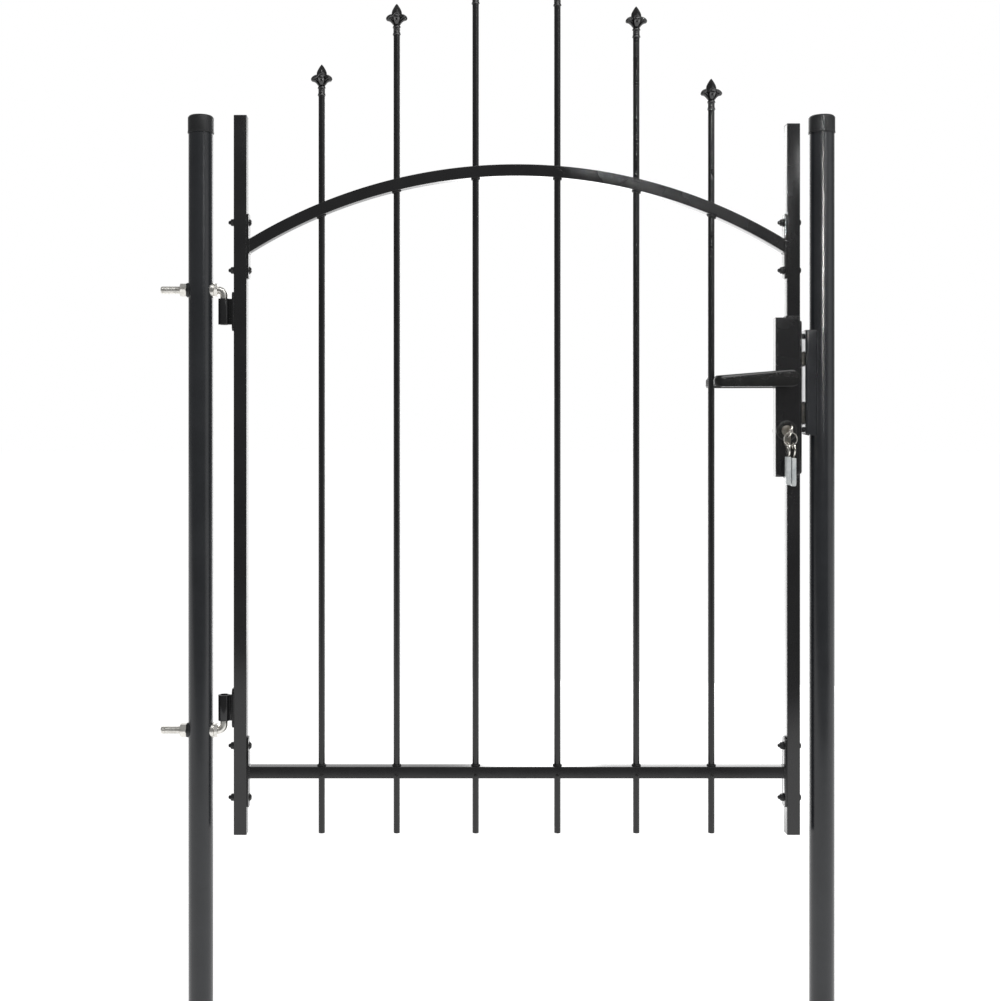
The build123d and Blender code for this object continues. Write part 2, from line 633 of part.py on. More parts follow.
KEEPER_FACE = FACEPLATE_FACE + LATCH_GAP
KEEPER_TOP = LOCK_TOP - KEEPER_BELOW_TOP
keeper_bottom = KEEPER_TOP - KEEPER_HEIGHT
keeper_side = KEEPER_WIDTH / 2
keeper = block(KEEPER_FACE, POST_CENTRES, -keeper_side, keeper_side, keeper_bottom, KEEPER_TOP)
keeper = fillet(keeper.edges().filter_by(Axis.Z).sort_by(Axis.X)[:2], KEEPER_BEND)
keeper -= block(
    KEEPER_FACE + KEEPER_SHEET,
    POST_CENTRES,
    -keeper_side + KEEPER_SHEET,
    keeper_side - KEEPER_SHEET,
    keeper_bottom,
    KEEPER_TOP,
)
keeper -= rod_z(POST_RADIUS, 0, POST_HEIGHT, POST_CENTRES)
for height, tall in BOLTS:
    keeper -= bolt_window(height, tall, KEEPER_WINDOW_PLAY, KEEPER_FACE, KEEPER_FACE + KEEPER_SHEET)
add("keeper", keeper)


# Lever handles and their spindle

def touch_point(x, z, radius, turn):
    """Where a line from a point touches a circle round the origin, on its upper (1) or lower (-1) side."""
    angle = atan2(z, x) - turn * acos(radius / hypot(x, z))
    return (radius * cos(angle), radius * sin(angle))


def lever_face():
    """The handle seen from the front, about its axis: a round hub that tapers into the arm."""
    upper_tip = (-LEVER_LENGTH, LEVER_TIP_ABOVE_AXIS)
    lower_tip = (-LEVER_LENGTH, -LEVER_TIP_BELOW_AXIS)
    upper = touch_point(*upper_tip, LEVER_HUB_RADIUS, 1)
    lower = touch_point(*lower_tip, LEVER_HUB_RADIUS, -1)
    with BuildSketch() as face:
        with BuildLine():
            Line(lower_tip, lower)
            ThreePointArc(lower, (LEVER_HUB_RADIUS, 0), upper)
            Polyline(upper, upper_tip, lower_tip)
        make_face()
    return face.sketch


def lever_plan(near, far):
    """The handle seen from above, about its axis: a straight grip whose end bends back to the gate."""
    tip, back = -LEVER_LENGTH, near - LEVER_RETURN
    inside = tip + LEVER_THICKNESS
    bend = LEVER_RETURN_RADIUS
    bend_start, bend_end = (tip + bend, far), (tip, far - bend)
    bend_middle = (tip + bend * (1 - sqrt(0.5)), far - bend * (1 - sqrt(0.5)))
    with BuildSketch() as plan:
        with BuildLine():
            Polyline(bend_end, (tip, back), (inside, back), (inside, near))
            Polyline((inside, near), (LEVER_HUB_RADIUS, near), (LEVER_HUB_RADIUS, far), bend_start)
            ThreePointArc(bend_start, bend_middle, bend_end)
        make_face()
    return plan.sketch


def lever(side):
    """A lever handle on the front (side -1) or back (side 1), pointing at the hinge."""
    near = HALF_DEPTH + LEVER_STANDOFF
    far = near + LEVER_THICKNESS
    back = near - LEVER_RETURN
    blank = extrude(Pos(0, 0, back) * lever_face(), far - LEVER_BEVEL - back)
    blank += extrude(blank.faces().sort_by(Axis.Z)[-1], LEVER_BEVEL, taper=45)
    grip = blank & extrude(Plane.XZ * lever_plan(near, far), 2 * LEVER_HUB_RADIUS, both=True)
    neck_start = HALF_DEPTH - LOCK_WALL
    grip += Pos(0, 0, neck_start) * extrude(Circle(LEVER_NECK_RADIUS), near - neck_start)
    socket = SPINDLE_SIDE + 2 * SEAT
    grip -= extrude(Rectangle(socket, socket), near)
    handle = Pos(LOCK_AXIS_X, 0, SPINDLE_HEIGHT) * Rot(90, 0, 0) * grip
    return handle if side < 0 else mirror(handle, Plane.XZ)


half_spindle = HALF_DEPTH + LEVER_STANDOFF - SEAT
half_side = SPINDLE_SIDE / 2
add("lever_front", lever(-1))
add("lever_back", lever(1))
add(
    "lever_spindle",
    block(
        LOCK_AXIS_X - half_side,
        LOCK_AXIS_X + half_side,
        -half_spindle,
        half_spindle,
        SPINDLE_HEIGHT - half_side,
        SPINDLE_HEIGHT + half_side,
    ),
)


# Cylinder, rosettes and keys

rosette_face = HALF_DEPTH + ROSETTE_THICKNESS
cylinder_face = rosette_face + CYLINDER_PROUD
keyway = KEY_THICKNESS / 2 + SEAT
key_turn = Pos(LOCK_AXIS_X, 0, CYLINDER_HEIGHT) * Rot(0, KEY_LEAN, 0)
key_slot = key_turn * block(-keyway, keyway, -cylinder_face, 0, -KEY_SHANK / 2 - SEAT, KEY_SHANK / 2 + SEAT)
add("lock_cylinder", cylinder_profile(-cylinder_face, cylinder_face) - key_slot)
for side in (-1, 1):
    near, far = sorted((side * HALF_DEPTH, side * rosette_face))
    rosette = rod_y(ROSETTE_DIAMETER / 2, near, far, LOCK_AXIS_X, CYLINDER_HEIGHT)
    add("cylinder_rosettes", rosette - cylinder_profile(near, far, SEAT))

bow_radius = KEY_BOW_DIAMETER / 2
bow_centre = -cylinder_face - bow_radius - KEY_NECK
half_key = KEY_THICKNESS / 2
bow = rod_x(bow_radius, -half_key, half_key, bow_centre, 0)
bow += block(-half_key, half_key, bow_centre, -SEAT, -KEY_SHANK / 2, KEY_SHANK / 2)
ring_to_bow = bow_radius - KEY_BOW_EDGE - KEY_BOW_HOLE / 2
ring_y = bow_centre - ring_to_bow
bow -= rod_x(KEY_BOW_HOLE / 2, -half_key, half_key, ring_y, 0)
add("key", key_turn * bow)

hang = (KEY_BOW_HOLE - KEY_RING_WIRE) / 2 - SLIP
ring_z = CYLINDER_HEIGHT - KEY_RING_RADIUS - hang
half_wire = KEY_RING_WIRE / 2
wire_sides = (ring_y - half_wire, ring_y + half_wire, LOCK_AXIS_X, ring_z)
outer_ring = rod_y(KEY_RING_RADIUS + half_wire, *wire_sides)
add("key_ring", outer_ring - rod_y(KEY_RING_RADIUS - half_wire, *wire_sides))


wire_drop = sqrt(KEY_RING_RADIUS**2 - SPARE_KEY_SPREAD**2)
wire_slope = SPARE_KEY_SPREAD / wire_drop
hole_z = -wire_drop - hang + half_key * wire_slope
spare_bow_z = hole_z - ring_to_bow
blade_foot = spare_bow_z - bow_radius - SPARE_KEY_BLADE
half_blade = SPARE_KEY_BLADE_WIDTH / 2
for side in (-1, 1):
    place = Pos(LOCK_AXIS_X + side * SPARE_KEY_SPREAD, ring_y, ring_z)
    spare = rod_x(bow_radius, -half_key, half_key, 0, spare_bow_z)
    spare += block(-half_key, half_key, -half_blade, half_blade, blade_foot, spare_bow_z)
    spare -= rod_x(KEY_BOW_HOLE / 2, -half_key, half_key, 0, hole_z)
    add("spare_keys", place * spare)
    inner_x, inner_y = half_key + SEAT, half_blade + SEAT
    thick, wide = SLEEVE_THICKNESS / 2, SLEEVE_WIDTH / 2
    foot = blade_foot - SLEEVE_END
    sleeve = block(-thick, thick, -wide, wide, foot, foot + SLEEVE_LENGTH)
    sleeve -= block(-inner_x, inner_x, -inner_y, inner_y, blade_foot - SEAT, foot + SLEEVE_LENGTH)
    add("key_sleeves", place * sleeve)


os.makedirs("parts", exist_ok=True)
for name, solids in nodes.items():
    export_step(Compound(children=solids) if len(solids) > 1 else solids[0], f"parts/{name}.step")
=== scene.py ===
import bmesh
import bpy
import numpy as np
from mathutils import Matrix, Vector
from math import radians


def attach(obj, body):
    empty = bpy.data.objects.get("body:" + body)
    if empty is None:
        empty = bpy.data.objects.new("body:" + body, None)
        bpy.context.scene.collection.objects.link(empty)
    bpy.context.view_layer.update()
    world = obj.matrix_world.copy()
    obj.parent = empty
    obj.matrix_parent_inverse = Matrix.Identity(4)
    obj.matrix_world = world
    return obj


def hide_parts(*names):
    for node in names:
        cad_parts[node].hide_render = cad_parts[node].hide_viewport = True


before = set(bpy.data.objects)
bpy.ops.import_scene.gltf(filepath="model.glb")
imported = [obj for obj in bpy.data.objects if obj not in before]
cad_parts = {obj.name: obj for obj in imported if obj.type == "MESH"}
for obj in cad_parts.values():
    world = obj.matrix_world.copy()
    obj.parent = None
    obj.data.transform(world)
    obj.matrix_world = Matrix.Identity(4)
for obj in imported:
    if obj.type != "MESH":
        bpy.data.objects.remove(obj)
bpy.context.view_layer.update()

# Studio
# The gate stands before a white background, on a white floor that fades into it. Soft lamps stand in front
# on the right and overhead, a narrow beam draws the streak on the latch post, and two behind light the edges.


def linear(code):
    """The linear colour of an sRGB hex value: each channel over 12.92 up to 0.04045, or to the power 2.4."""
    channel = np.array([int(code[at : at + 2], 16) for at in (1, 3, 5)]) / 255
    return (*np.where(channel <= 0.04045, channel / 12.92, ((channel + 0.055) / 1.055) ** 2.4), 1.0)


def put(tree, kind, links=None, **settings):
    """A node with its settings, and its sockets linked where links gives a socket, or set to the value."""
    made = tree.nodes.new(kind)
    for name, value in settings.items():
        setattr(made, name, value)
    for name, value in (links or {}).items():
        if isinstance(value, bpy.types.NodeSocket):
            tree.links.new(value, made.inputs[name])
        else:
            made.inputs[name].default_value = value
    return made


scene = bpy.context.scene
scene.view_settings.view_transform = "Standard"

camera = bpy.data.objects.new("gate_camera", bpy.data.cameras.new("gate_camera"))
camera.location = (0.355, -2.04, 1.015)
camera.rotation_euler = (radians(90), 0, 0)
camera.data.sensor_fit = "HORIZONTAL"
camera.data.sensor_width = 36.0
camera.data.lens = 47.4
camera.data.shift_x = 0.07
camera.data.shift_y = -0.07
camera.data.clip_start = 0.01
camera.data.clip_end = 200.0
scene.collection.objects.link(camera)
scene.camera = camera

# The background is white to the camera, and to glossy and transmitted rays from behind the gate. It is
# dimmer to glossy rays from the sides and the front, where the studio is.
world = bpy.data.worlds.new("white_background")
scene.world = world
world.use_nodes = True
tree = world.node_tree
tree.nodes.clear()
direction = put(tree, "ShaderNodeTexCoord").outputs["Generated"]
aim = put(tree, "ShaderNodeVectorMath", {0: direction, 1: (0.0, 1.0, 0.35)}, operation="DOT_PRODUCT")
studio = put(
    tree,
    "ShaderNodeMapRange",
    {"Value": aim.outputs["Value"], "From Min": 0.6, "From Max": 0.95, "To Min": 0.2, "To Max": 1.0},
    interpolation_type="SMOOTHSTEP",
).outputs["Result"]
path = put(tree, "ShaderNodeLightPath")
seen = put(
    tree,
    "ShaderNodeMath",
    {0: path.outputs["Is Camera Ray"], 1: path.outputs["Is Transmission Ray"]},
    operation="MAXIMUM",
).outputs[0]
lit = put(
    tree,
    "ShaderNodeMix",
    {"Factor": path.outputs["Is Glossy Ray"], "A": 0.5, "B": studio},
    data_type="FLOAT",
).outputs["Result"]
level = put(tree, "ShaderNodeMix", {"Factor": seen, "A": lit, "B": 1.0}, data_type="FLOAT").outputs["Result"]
sky = put(tree, "ShaderNodeBackground", {"Color": linear("#ffffff"), "Strength": level})
put(tree, "ShaderNodeOutputWorld", {"Surface": sky.outputs[0]})

# The floor is a white sheet that ends in front of the gate, so that the room there stays dark in the paint.
floor_mesh = bpy.data.meshes.new("studio_floor")
reach, front_edge = 60.0, -1.6
corners = [(-reach, front_edge, 0), (reach, front_edge, 0), (reach, reach, 0), (-reach, reach, 0)]
floor_mesh.from_pydata(corners, [], [(0, 1, 2, 3)])
studio_floor = bpy.data.objects.new("studio_floor", floor_mesh)
scene.collection.objects.link(studio_floor)
# Matt white floor paint, lifted to white for the camera and in reflections, so that only the gate's
# shadow shows on it.
FLOOR_LIFT = 0.57
paint = bpy.data.materials.new("floor_paint_white_matt")
paint.use_nodes = True
tree = paint.node_tree
tree.nodes.clear()
path = put(tree, "ShaderNodeLightPath")
seen = put(
    tree,
    "ShaderNodeMath",
    {0: path.outputs["Is Camera Ray"], 1: path.outputs["Is Glossy Ray"]},
    operation="MAXIMUM",
).outputs[0]
seen = put(
    tree, "ShaderNodeMath", {0: seen, 1: path.outputs["Is Transmission Ray"]}, operation="MAXIMUM"
).outputs[0]
glow = put(tree, "ShaderNodeMath", {0: seen, 1: FLOOR_LIFT}, operation="MULTIPLY").outputs[0]
white = put(
    tree,
    "ShaderNodeBsdfPrincipled",
    {
        "Base Color": linear("#f0f0f0"),
        "Roughness": 0.9,
        "Specular IOR Level": 0.0,
        "Emission Color": linear("#ffffff"),
        "Emission Strength": glow,
    },
)
put(tree, "ShaderNodeOutputMaterial", {"Surface": white.outputs[0]})
floor_mesh.materials.append(paint)


def soft_lamp(name, place, target, size, watts, spread=180, diffuse=True):
    """A rectangular lamp at a place, turned to its target, with a beam of spread degrees.

    The camera doesn't see it. Where diffuse is off, it shows only as a reflection."""
    lamp = bpy.data.lights.new(name, "AREA")
    lamp.shape = "RECTANGLE"
    lamp.size, lamp.size_y = size
    lamp.energy = watts
    lamp.spread = radians(spread)
    made = bpy.data.objects.new(name, lamp)
    made.location = place
    made.rotation_euler = (Vector(target) - Vector(place)).to_track_quat("-Z", "Y").to_euler()
    made.visible_camera = False
    made.visible_diffuse = diffuse
    scene.collection.objects.link(made)


soft_lamp("front_softbox", (3.5, -1.4, 1.6), (0.5, 0, 1.0), (2.2, 3.0), 15)
soft_lamp("streak_strip", (0.78, -3.2, 2.25), (0.962, 0, 1.36), (0.03, 0.45), 0.45, 14, diffuse=False)
soft_lamp("finial_lamp", (2.1, -2.7, 2.7), (0.5, 0, 1.6), (0.35, 0.5), 4)
soft_lamp("top_softbox", (1.1, -1.25, 3.2), (0.7, 0, 1.6), (2.4, 0.8), 24)
soft_lamp("side_softbox", (0.62, 1.2, 1.05), (0.75, 0, 1.05), (0.28, 2.1), 5.5)
soft_lamp("backdrop_softbox", (1.3, 3.2, 1.2), (0.9, 0, 1.0), (1.5, 2.4), 18)

# Posts
# Two round steel tubes of 38 mm with a 1.5 mm wall, cut square and powder-coated satin black. They
# stand in the ground or in concrete, and carry everything else.
POST_RADIUS = 19.0
POST_WALL = 1.5
POST_HEIGHT = 1499.956
POST_CENTRES = (0.0, 962.0)


def stations(low, high, ease, steps=4):
    """Pairs of inset and height for a form with rounded ends: a quarter circle of radius ease at each end."""
    angle = np.linspace(0, np.pi / 2, steps)
    inset, rise = ease * (1 - np.sin(angle)), ease * (1 - np.cos(angle))
    lower = np.column_stack([inset, low + rise])
    upper = np.column_stack([inset, high - rise])[::-1]
    return np.vstack([lower, upper])


def facing(grid, along):
    """The grid with its third coordinate along X, Y or Z: the three coordinates are rolled round."""
    return np.roll(grid, {"Z": 0, "X": 1, "Y": 2}[along], axis=-1)


def ring_angles(steps):
    """That many angles, evenly spaced round a circle."""
    return np.arange(steps) * 2 * np.pi / steps


def turned(profile, along="Z", sides=64, limit=None, angle=None):
    """A turned form. Each (radius, height) of the profile makes a ring of that radius round the axis.

    limit, a radius for each angle, holds the rings in where it is less, such as to a hexagon."""
    radius, height = np.asarray(profile, float).T
    if angle is None:
        angle = ring_angles(sides)
    ring = np.repeat(radius[:, None], len(angle), axis=1)
    if limit is not None:
        ring = np.minimum(ring, limit[None, :])
    grid = np.stack([ring * np.cos(angle), ring * np.sin(angle), height[:, None] + 0 * ring], axis=-1)
    return facing(grid, along)


def looped(grid):
    """The grid with its first row again at the end, which closes a form such as a tube with a bore."""
    return np.concatenate([grid, grid[:1]])


def capped(grid, middle=None):
    """The grid with a row at each end where all its points are the middle of the end row."""
    ends = []
    for row in (grid[0], grid[-1]):
        point = row.mean(axis=0) if middle is None else np.where(np.isnan(middle), row.mean(axis=0), middle)
        ends.append(np.broadcast_to(point, row.shape)[None])
    return np.concatenate([ends[0], grid, ends[1]])


def skin(name, *grids, sharp=32, wrap=True, drop=None):
    """A mesh object from grids of points in mm. Each cell joins four neighbours, and the columns close.

    Points in one place are merged, which closes poles and seams. The sign of the volume that a closed
    grid holds turns its faces outwards. drop marks the cells of an open sheet that are left out."""
    points, faces, start = [], [], 0
    for grid in grids:
        rows, columns, _ = grid.shape
        index = start + np.arange(rows * columns).reshape(rows, columns)
        across = np.roll(index, -1, axis=1) if wrap else index[:, 1:]
        here = index if wrap else index[:, :-1]
        cell = np.stack([here[:-1], across[:-1], across[1:], here[1:]], axis=-1)
        if drop is not None:
            cell = cell[~drop]
        cell = cell.reshape(-1, 4)
        flat = grid.reshape(-1, 3)
        corner = flat[cell - start]
        spread = np.cross(corner[:, 2] - corner[:, 0], corner[:, 3] - corner[:, 1])
        if wrap and drop is None and np.sum(corner.mean(axis=1) * spread) < 0:
            cell = cell[:, ::-1]
        points.append(flat)
        faces.append(cell)
        start += rows * columns
    mesh = bpy.data.meshes.new(name)
    mesh.from_pydata(np.concatenate(points) / 1000, [], np.concatenate(faces).tolist())
    form = bmesh.new()
    form.from_mesh(mesh)
    bmesh.ops.remove_doubles(form, verts=form.verts, dist=1e-6)
    bmesh.ops.dissolve_degenerate(form, edges=form.edges, dist=1e-7)
    form.to_mesh(mesh)
    form.free()
    mesh.shade_smooth()
    mesh.set_sharp_from_angle(angle=radians(sharp))
    piece = bpy.data.objects.new(name, mesh)
    scene.collection.objects.link(piece)
    return piece


def fitted(piece, finish, body, slot, *nodes):
    """Gives a piece its finish and its body. It takes the place of the plain nodes named, if any are."""
    piece.data.materials.append(finish)
    if nodes:
        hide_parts(*nodes)
    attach(piece, body)


def surface(name, tints, gloss, cloud, grain, depth, own):
    """A material. Its two tints and its roughness follow one noise, and its bump, depth mm deep, another.

    gloss holds the roughness at both ends, cloud and grain each noise's size in mm, detail and
    roughness, and own the shader's other values."""
    made = bpy.data.materials.new(name)
    made.use_nodes = True
    tree = made.node_tree
    tree.nodes.clear()
    place = put(tree, "ShaderNodeTexCoord").outputs["Object"]
    noises = []
    for size, detail, rough in (cloud, grain):
        sockets = {"Vector": place, "Scale": 1000 / size, "Detail": detail, "Roughness": rough}
        noises.append(put(tree, "ShaderNodeTexNoise", sockets).outputs["Fac"])
    tint = put(tree, "ShaderNodeValToRGB", {"Fac": noises[0]})
    for stop, position, code in zip(tint.color_ramp.elements, (0.35, 0.65), tints):
        stop.position, stop.color = position, linear(code)
    sockets = {"Value": noises[0], "From Min": 0.3, "From Max": 0.7, "To Min": gloss[0], "To Max": gloss[1]}
    blur = put(tree, "ShaderNodeMapRange", sockets).outputs["Result"]
    sockets = {"Height": noises[1], "Strength": 1.0, "Distance": depth / 1000}
    relief = put(tree, "ShaderNodeBump", sockets).outputs["Normal"]
    sockets = {"Base Color": tint.outputs["Color"], "Roughness": blur, "Normal": relief, **own}
    shader = put(tree, "ShaderNodeBsdfPrincipled", sockets)
    put(tree, "ShaderNodeOutputMaterial", {"Surface": shader.outputs[0]})
    return made


def coat(name, tints, roughness, spread, peel, wave, patch, ior=1.5):
    """Paint on metal: clouds of patch mm in tint and gloss, and waves of wave mm that are peel mm deep."""
    gloss = (roughness, roughness + spread)
    return surface(name, tints, gloss, (patch, 3.0, 0.55), (wave, 2.0, 0.5), peel, {"IOR": ior})


# Satin polyester powder, baked on: a near black with a slight orange peel. The peel's waves are about
# 1.5 mm in life, and are drawn at 5 mm so that they show as soft breaks in the streaks of light.
post_coat = coat("satin_black_powder_coat_on_posts", ("#25272a", "#2c2e31"), 0.24, 0.03, 0.003, 5.0, 70)

tube = stations(0, POST_HEIGHT, 0.3)
bore = np.column_stack([np.full(2, POST_WALL), (POST_HEIGHT, 0.0)])
post_profile = np.vstack([tube, bore]) * (-1, 1) + (POST_RADIUS, 0)
for name, x in zip(("hinge_post", "latch_post"), POST_CENTRES):
    post = skin(name + "_tube", looped(turned(post_profile, sides=96)) + (x, 0, 0))
    fitted(post, post_coat, "posts", "post_coat", name)

# Post caps
# Black polyethylene caps, moulded and pushed over the tubes, with a rounded top edge, a shallow dish
# and a thicker rim at the skirt's foot.
CAP_RADIUS = 20.3
CAP_FOOT = POST_HEIGHT - 25.0
CAP_CEILING = CAP_FOOT + 22
CAP_TOP = POST_HEIGHT + 2.0


def moulded(name, tints, roughness, grain, wave):
    """Moulded plastic: a fine spark-eroded grain of wave mm in the bump, and soft clouds in the tint."""
    return coat(name, tints, roughness, 0.08, grain, wave, 25)


# Moulded polyethylene, a little greyer and duller than the coat beside it. Its mould grain of 0.5 mm
# is drawn at 2 mm.
cap_plastic = moulded("black_moulded_polyethylene", ("#1b1c1d", "#27282a"), 0.42, 0.012, 2.0)

cap_profile = [
    (0.0, CAP_CEILING),
    (POST_RADIUS + 0.05, CAP_CEILING),
    (POST_RADIUS + 0.05, CAP_FOOT),
    (CAP_RADIUS - 0.2, CAP_FOOT),
    (CAP_RADIUS, CAP_FOOT + 0.3),
    (CAP_RADIUS, CAP_FOOT + 2.6),
    (CAP_RADIUS - 0.35, CAP_FOOT + 3.1),
    (CAP_RADIUS - 0.35, CAP_TOP - 3.4),
    (CAP_RADIUS - 0.6, CAP_TOP - 2.6),
    (CAP_RADIUS - 2.4, CAP_TOP - 0.5),
    (CAP_RADIUS - 3.1, CAP_TOP - 0.08),
    (CAP_RADIUS - 3.8, CAP_TOP),
    (CAP_RADIUS - 4.8, CAP_TOP - 0.5),
    (CAP_RADIUS - 9, CAP_TOP - 0.7),
    (1.6, CAP_TOP - 0.75),
    (1.3, CAP_TOP - 0.95),
    (0.0, CAP_TOP - 0.95),
]
caps = [turned(cap_profile, sides=96) + (x, 0, 0) for x in POST_CENTRES]
fitted(skin("post_caps_moulded", *caps), cap_plastic, "posts", "black_plastic", "post_caps")

# Pintles
# Bent rods of 12 mm steel, threaded where they run through the post and plain round the bend, bright
# zinc-plated. The upper pin points down and the lower one up, so the leaf can't be lifted off.
ROD_RADIUS = 6.0
THREAD_PITCH = 1.75
THREAD_DEPTH = 0.5
STUD_START = -61.5
PIN_X = 36.0
BEND_RADIUS = 9.0
PIN_LENGTH = 46.0
UPPER_STUD = 1232.456
LOWER_STUD = 551.0


def pintle(stud, turn):
    """A rod carried along a straight, a quarter circle and a straight.

    On its thread the radius is a triangle wave of the distance along the rod less the turn round it,
    held in at the crests, and its two ends are chamfered."""
    bend_x = PIN_X - BEND_RADIUS
    run = np.arange(STUD_START, bend_x - 0.2, THREAD_PITCH / 8)
    arc = np.linspace(0, np.pi / 2, 17)
    x = np.concatenate([run, bend_x + BEND_RADIUS * np.sin(arc), [PIN_X, PIN_X]])
    z = np.concatenate([0 * run, BEND_RADIUS * (1 - np.cos(arc)), [PIN_LENGTH - 1.2, PIN_LENGTH]])
    lean = np.concatenate([0 * run, arc, [np.pi / 2, np.pi / 2]])
    angle = ring_angles(48)
    phase = x[:, None] / THREAD_PITCH - angle / (2 * np.pi)
    wave = np.abs(2 * (phase - np.floor(phase)) - 1)
    groove = THREAD_DEPTH * np.clip(1.6 * wave - 0.6, 0, 1)
    threaded = (np.arange(len(x)) < len(run))[:, None]
    radius = np.where(threaded, ROD_RADIUS - 0.05 - groove, ROD_RADIUS - 0.15)
    radius = np.minimum(radius, 4.6 + 0.9 * (x[:, None] - STUD_START))
    radius[-1] = ROD_RADIUS - 1.2
    across = np.cos(angle)[None, :, None] * np.array((0.0, 1.0, 0.0))
    side = np.stack([-np.sin(lean), 0 * lean, np.cos(lean)], axis=-1)[:, None]
    spoke = across + np.sin(angle)[None, :, None] * side
    grid = np.stack([x, 0 * x, z], axis=-1)[:, None] + radius[..., None] * spoke
    return capped(grid * (1, 1, turn) + (0, 0, stud))


def plated(name, tints, roughness, spread, patch, scratch):
    """Plated metal: clouds of patch mm in tint and gloss, and a shallow noise of scratch mm in the bump."""
    gloss = (roughness, roughness + spread)
    return surface(name, tints, gloss, (patch, 4.0, 0.6), (scratch, 3.0, 0.5), 0.03, {"Metallic": 1.0})


# Bright zinc, electroplated: a pale warm grey, softly cloudy, that blurs what it reflects.
zinc = plated("bright_electroplated_zinc", ("#d6d4ce", "#ebe9e4"), 0.26, 0.12, 6, 1.2)

for name, stud, turn in (("upper_pintle", UPPER_STUD, -1), ("lower_pintle", LOWER_STUD, 1)):
    rod = skin(name + "_rod", pintle(stud, turn), sharp=50)
    fitted(rod, zinc, "posts", "zinc_plate", name)

# Pintle nuts and washers
# Zinc-plated M12 hexagon nuts, one outside and a thin one inside the post, each drawn up on a washer
# that is hollowed to the tube: black plastic outside, and zinc-plated steel on the leaf's side.
NUT_ACROSS_FLATS = 19.0
SADDLE_FACE = POST_RADIUS + 2.5
WASHER_FACE = POST_RADIUS + 2.0
STUDS = (UPPER_STUD, LOWER_STUD)


def hexagon(across_flats, angle):
    """The radius of a hexagon at each angle: half its width over the cosine of the angle from its flat."""
    from_flat = np.mod(angle, np.pi / 3) - np.pi / 6
    return across_flats / 2 / np.cos(from_flat)


def hexagon_angles(per_side):
    """Angles round a hexagon that meet its corners, evenly spaced along each side."""
    step = np.tan(np.linspace(-np.pi / 6, np.pi / 6, per_side, endpoint=False))
    return (np.arctan(step)[None, :] + (np.arange(6) * np.pi / 3 + np.pi / 6)[:, None]).ravel()


def pintle_nut(start, end, stud):
    """A hexagon ring with its faces cut to cones, so each flat ends in a curve, and a chamfered bore."""
    angle = hexagon_angles(10)
    flat, corner = NUT_ACROSS_FLATS / 2, NUT_ACROSS_FLATS / np.sqrt(3)
    cone = np.linspace(0, 1, 6)
    rise = (corner - flat + 0.25) * 0.5 * cone
    radius = flat - 0.25 + (corner - flat + 0.25) * cone
    profile = [(ROD_RADIUS - 0.6, end), (ROD_RADIUS - 0.6, start + 0.7), (ROD_RADIUS + 0.4, start)]
    profile += list(zip(radius, start + rise)) + list(zip(radius[::-1], end - rise[::-1]))
    profile += [(ROD_RADIUS + 0.4, end)]
    grid = turned(profile, "X", limit=hexagon(NUT_ACROSS_FLATS, angle), angle=angle)
    return looped(grid) + (0, 0, stud)


def saddle_washer(radius, face, side, stud):
    """A disc whose outer face is flat, and whose inner face follows the post: x is the root of the
    post's radius squared less y squared."""
    profile = [(ROD_RADIUS - 0.3, 0), (radius - 0.5, 0), (radius - 0.12, 0.12), (radius, 0.5)]
    outer = turned(profile, "X", sides=72)
    outer[..., 0] = face - outer[..., 0]
    inner = turned([(r, 0) for r in (radius, radius - 0.3, 8.5, ROD_RADIUS - 0.3)], "X", sides=72)
    inner[..., 0] = np.sqrt((POST_RADIUS + 0.02) ** 2 - inner[..., 1] ** 2)
    return looped(np.concatenate([outer, inner])) * (side, 1, 1) + (0, 0, stud)


nuts = [
    pintle_nut(start, end, stud)
    for stud in STUDS
    for start, end in ((-SADDLE_FACE - 10, -SADDLE_FACE), (WASHER_FACE, WASHER_FACE + 6))
]
fitted(skin("pintle_nuts_m12", *nuts, sharp=25), zinc, "posts", "zinc_plate", "hinge_nuts")
steel_washers = [saddle_washer(11.7, WASHER_FACE, 1, stud) for stud in STUDS]
fitted(skin("inner_saddle_washers", *steel_washers), zinc, "posts", "zinc_plate", "hinge_washers")
black_washers = [saddle_washer(11.2, SADDLE_FACE, -1, stud) for stud in STUDS]
fitted(
    skin("outer_saddle_washers", *black_washers), cap_plastic, "posts", "black_plastic", "saddle_washers"
)

# Uprights
# Square steel tube of 20 mm with rounded corners, cut square, with black plastic plugs in the open ends.
# The latch side is cut in two, and each part is welded to the lock case.
UPRIGHT_SIDE = 20.0
UPRIGHT_CORNER = 1.2
HINGE_UPRIGHT_X = 62.2
LATCH_UPRIGHT_X = 915.8
LEAF_FOOT = 391.0
HINGE_UPRIGHT_TOP = 1501.956
LATCH_UPRIGHT_TOP = 1488.956
LOCK_FOOT = 943.456
LOCK_TOP = 1189.456
PLUG_LIP = 1.5


def eased(corners, ease, steps=5):
    """A closed outline, each corner rounded by a quadratic curve from ease mm before it to ease mm after.

    corners may have leading axes, and then each of their outlines is rounded."""
    before, after = np.roll(corners, 1, axis=-2), np.roll(corners, -1, axis=-2)
    ease = np.broadcast_to(np.asarray(ease, float), corners.shape[:-1])[..., None]
    towards, onwards = before - corners, after - corners
    start = corners + towards * ease / np.linalg.norm(towards, axis=-1, keepdims=True)
    end = corners + onwards * ease / np.linalg.norm(onwards, axis=-1, keepdims=True)
    t = np.linspace(0, 1, steps)[:, None]
    start, middle, end = start[..., None, :], corners[..., None, :], end[..., None, :]
    curve = (1 - t) ** 2 * start + 2 * t * (1 - t) * middle + t**2 * end
    return curve.reshape(*corners.shape[:-2], -1, 2)


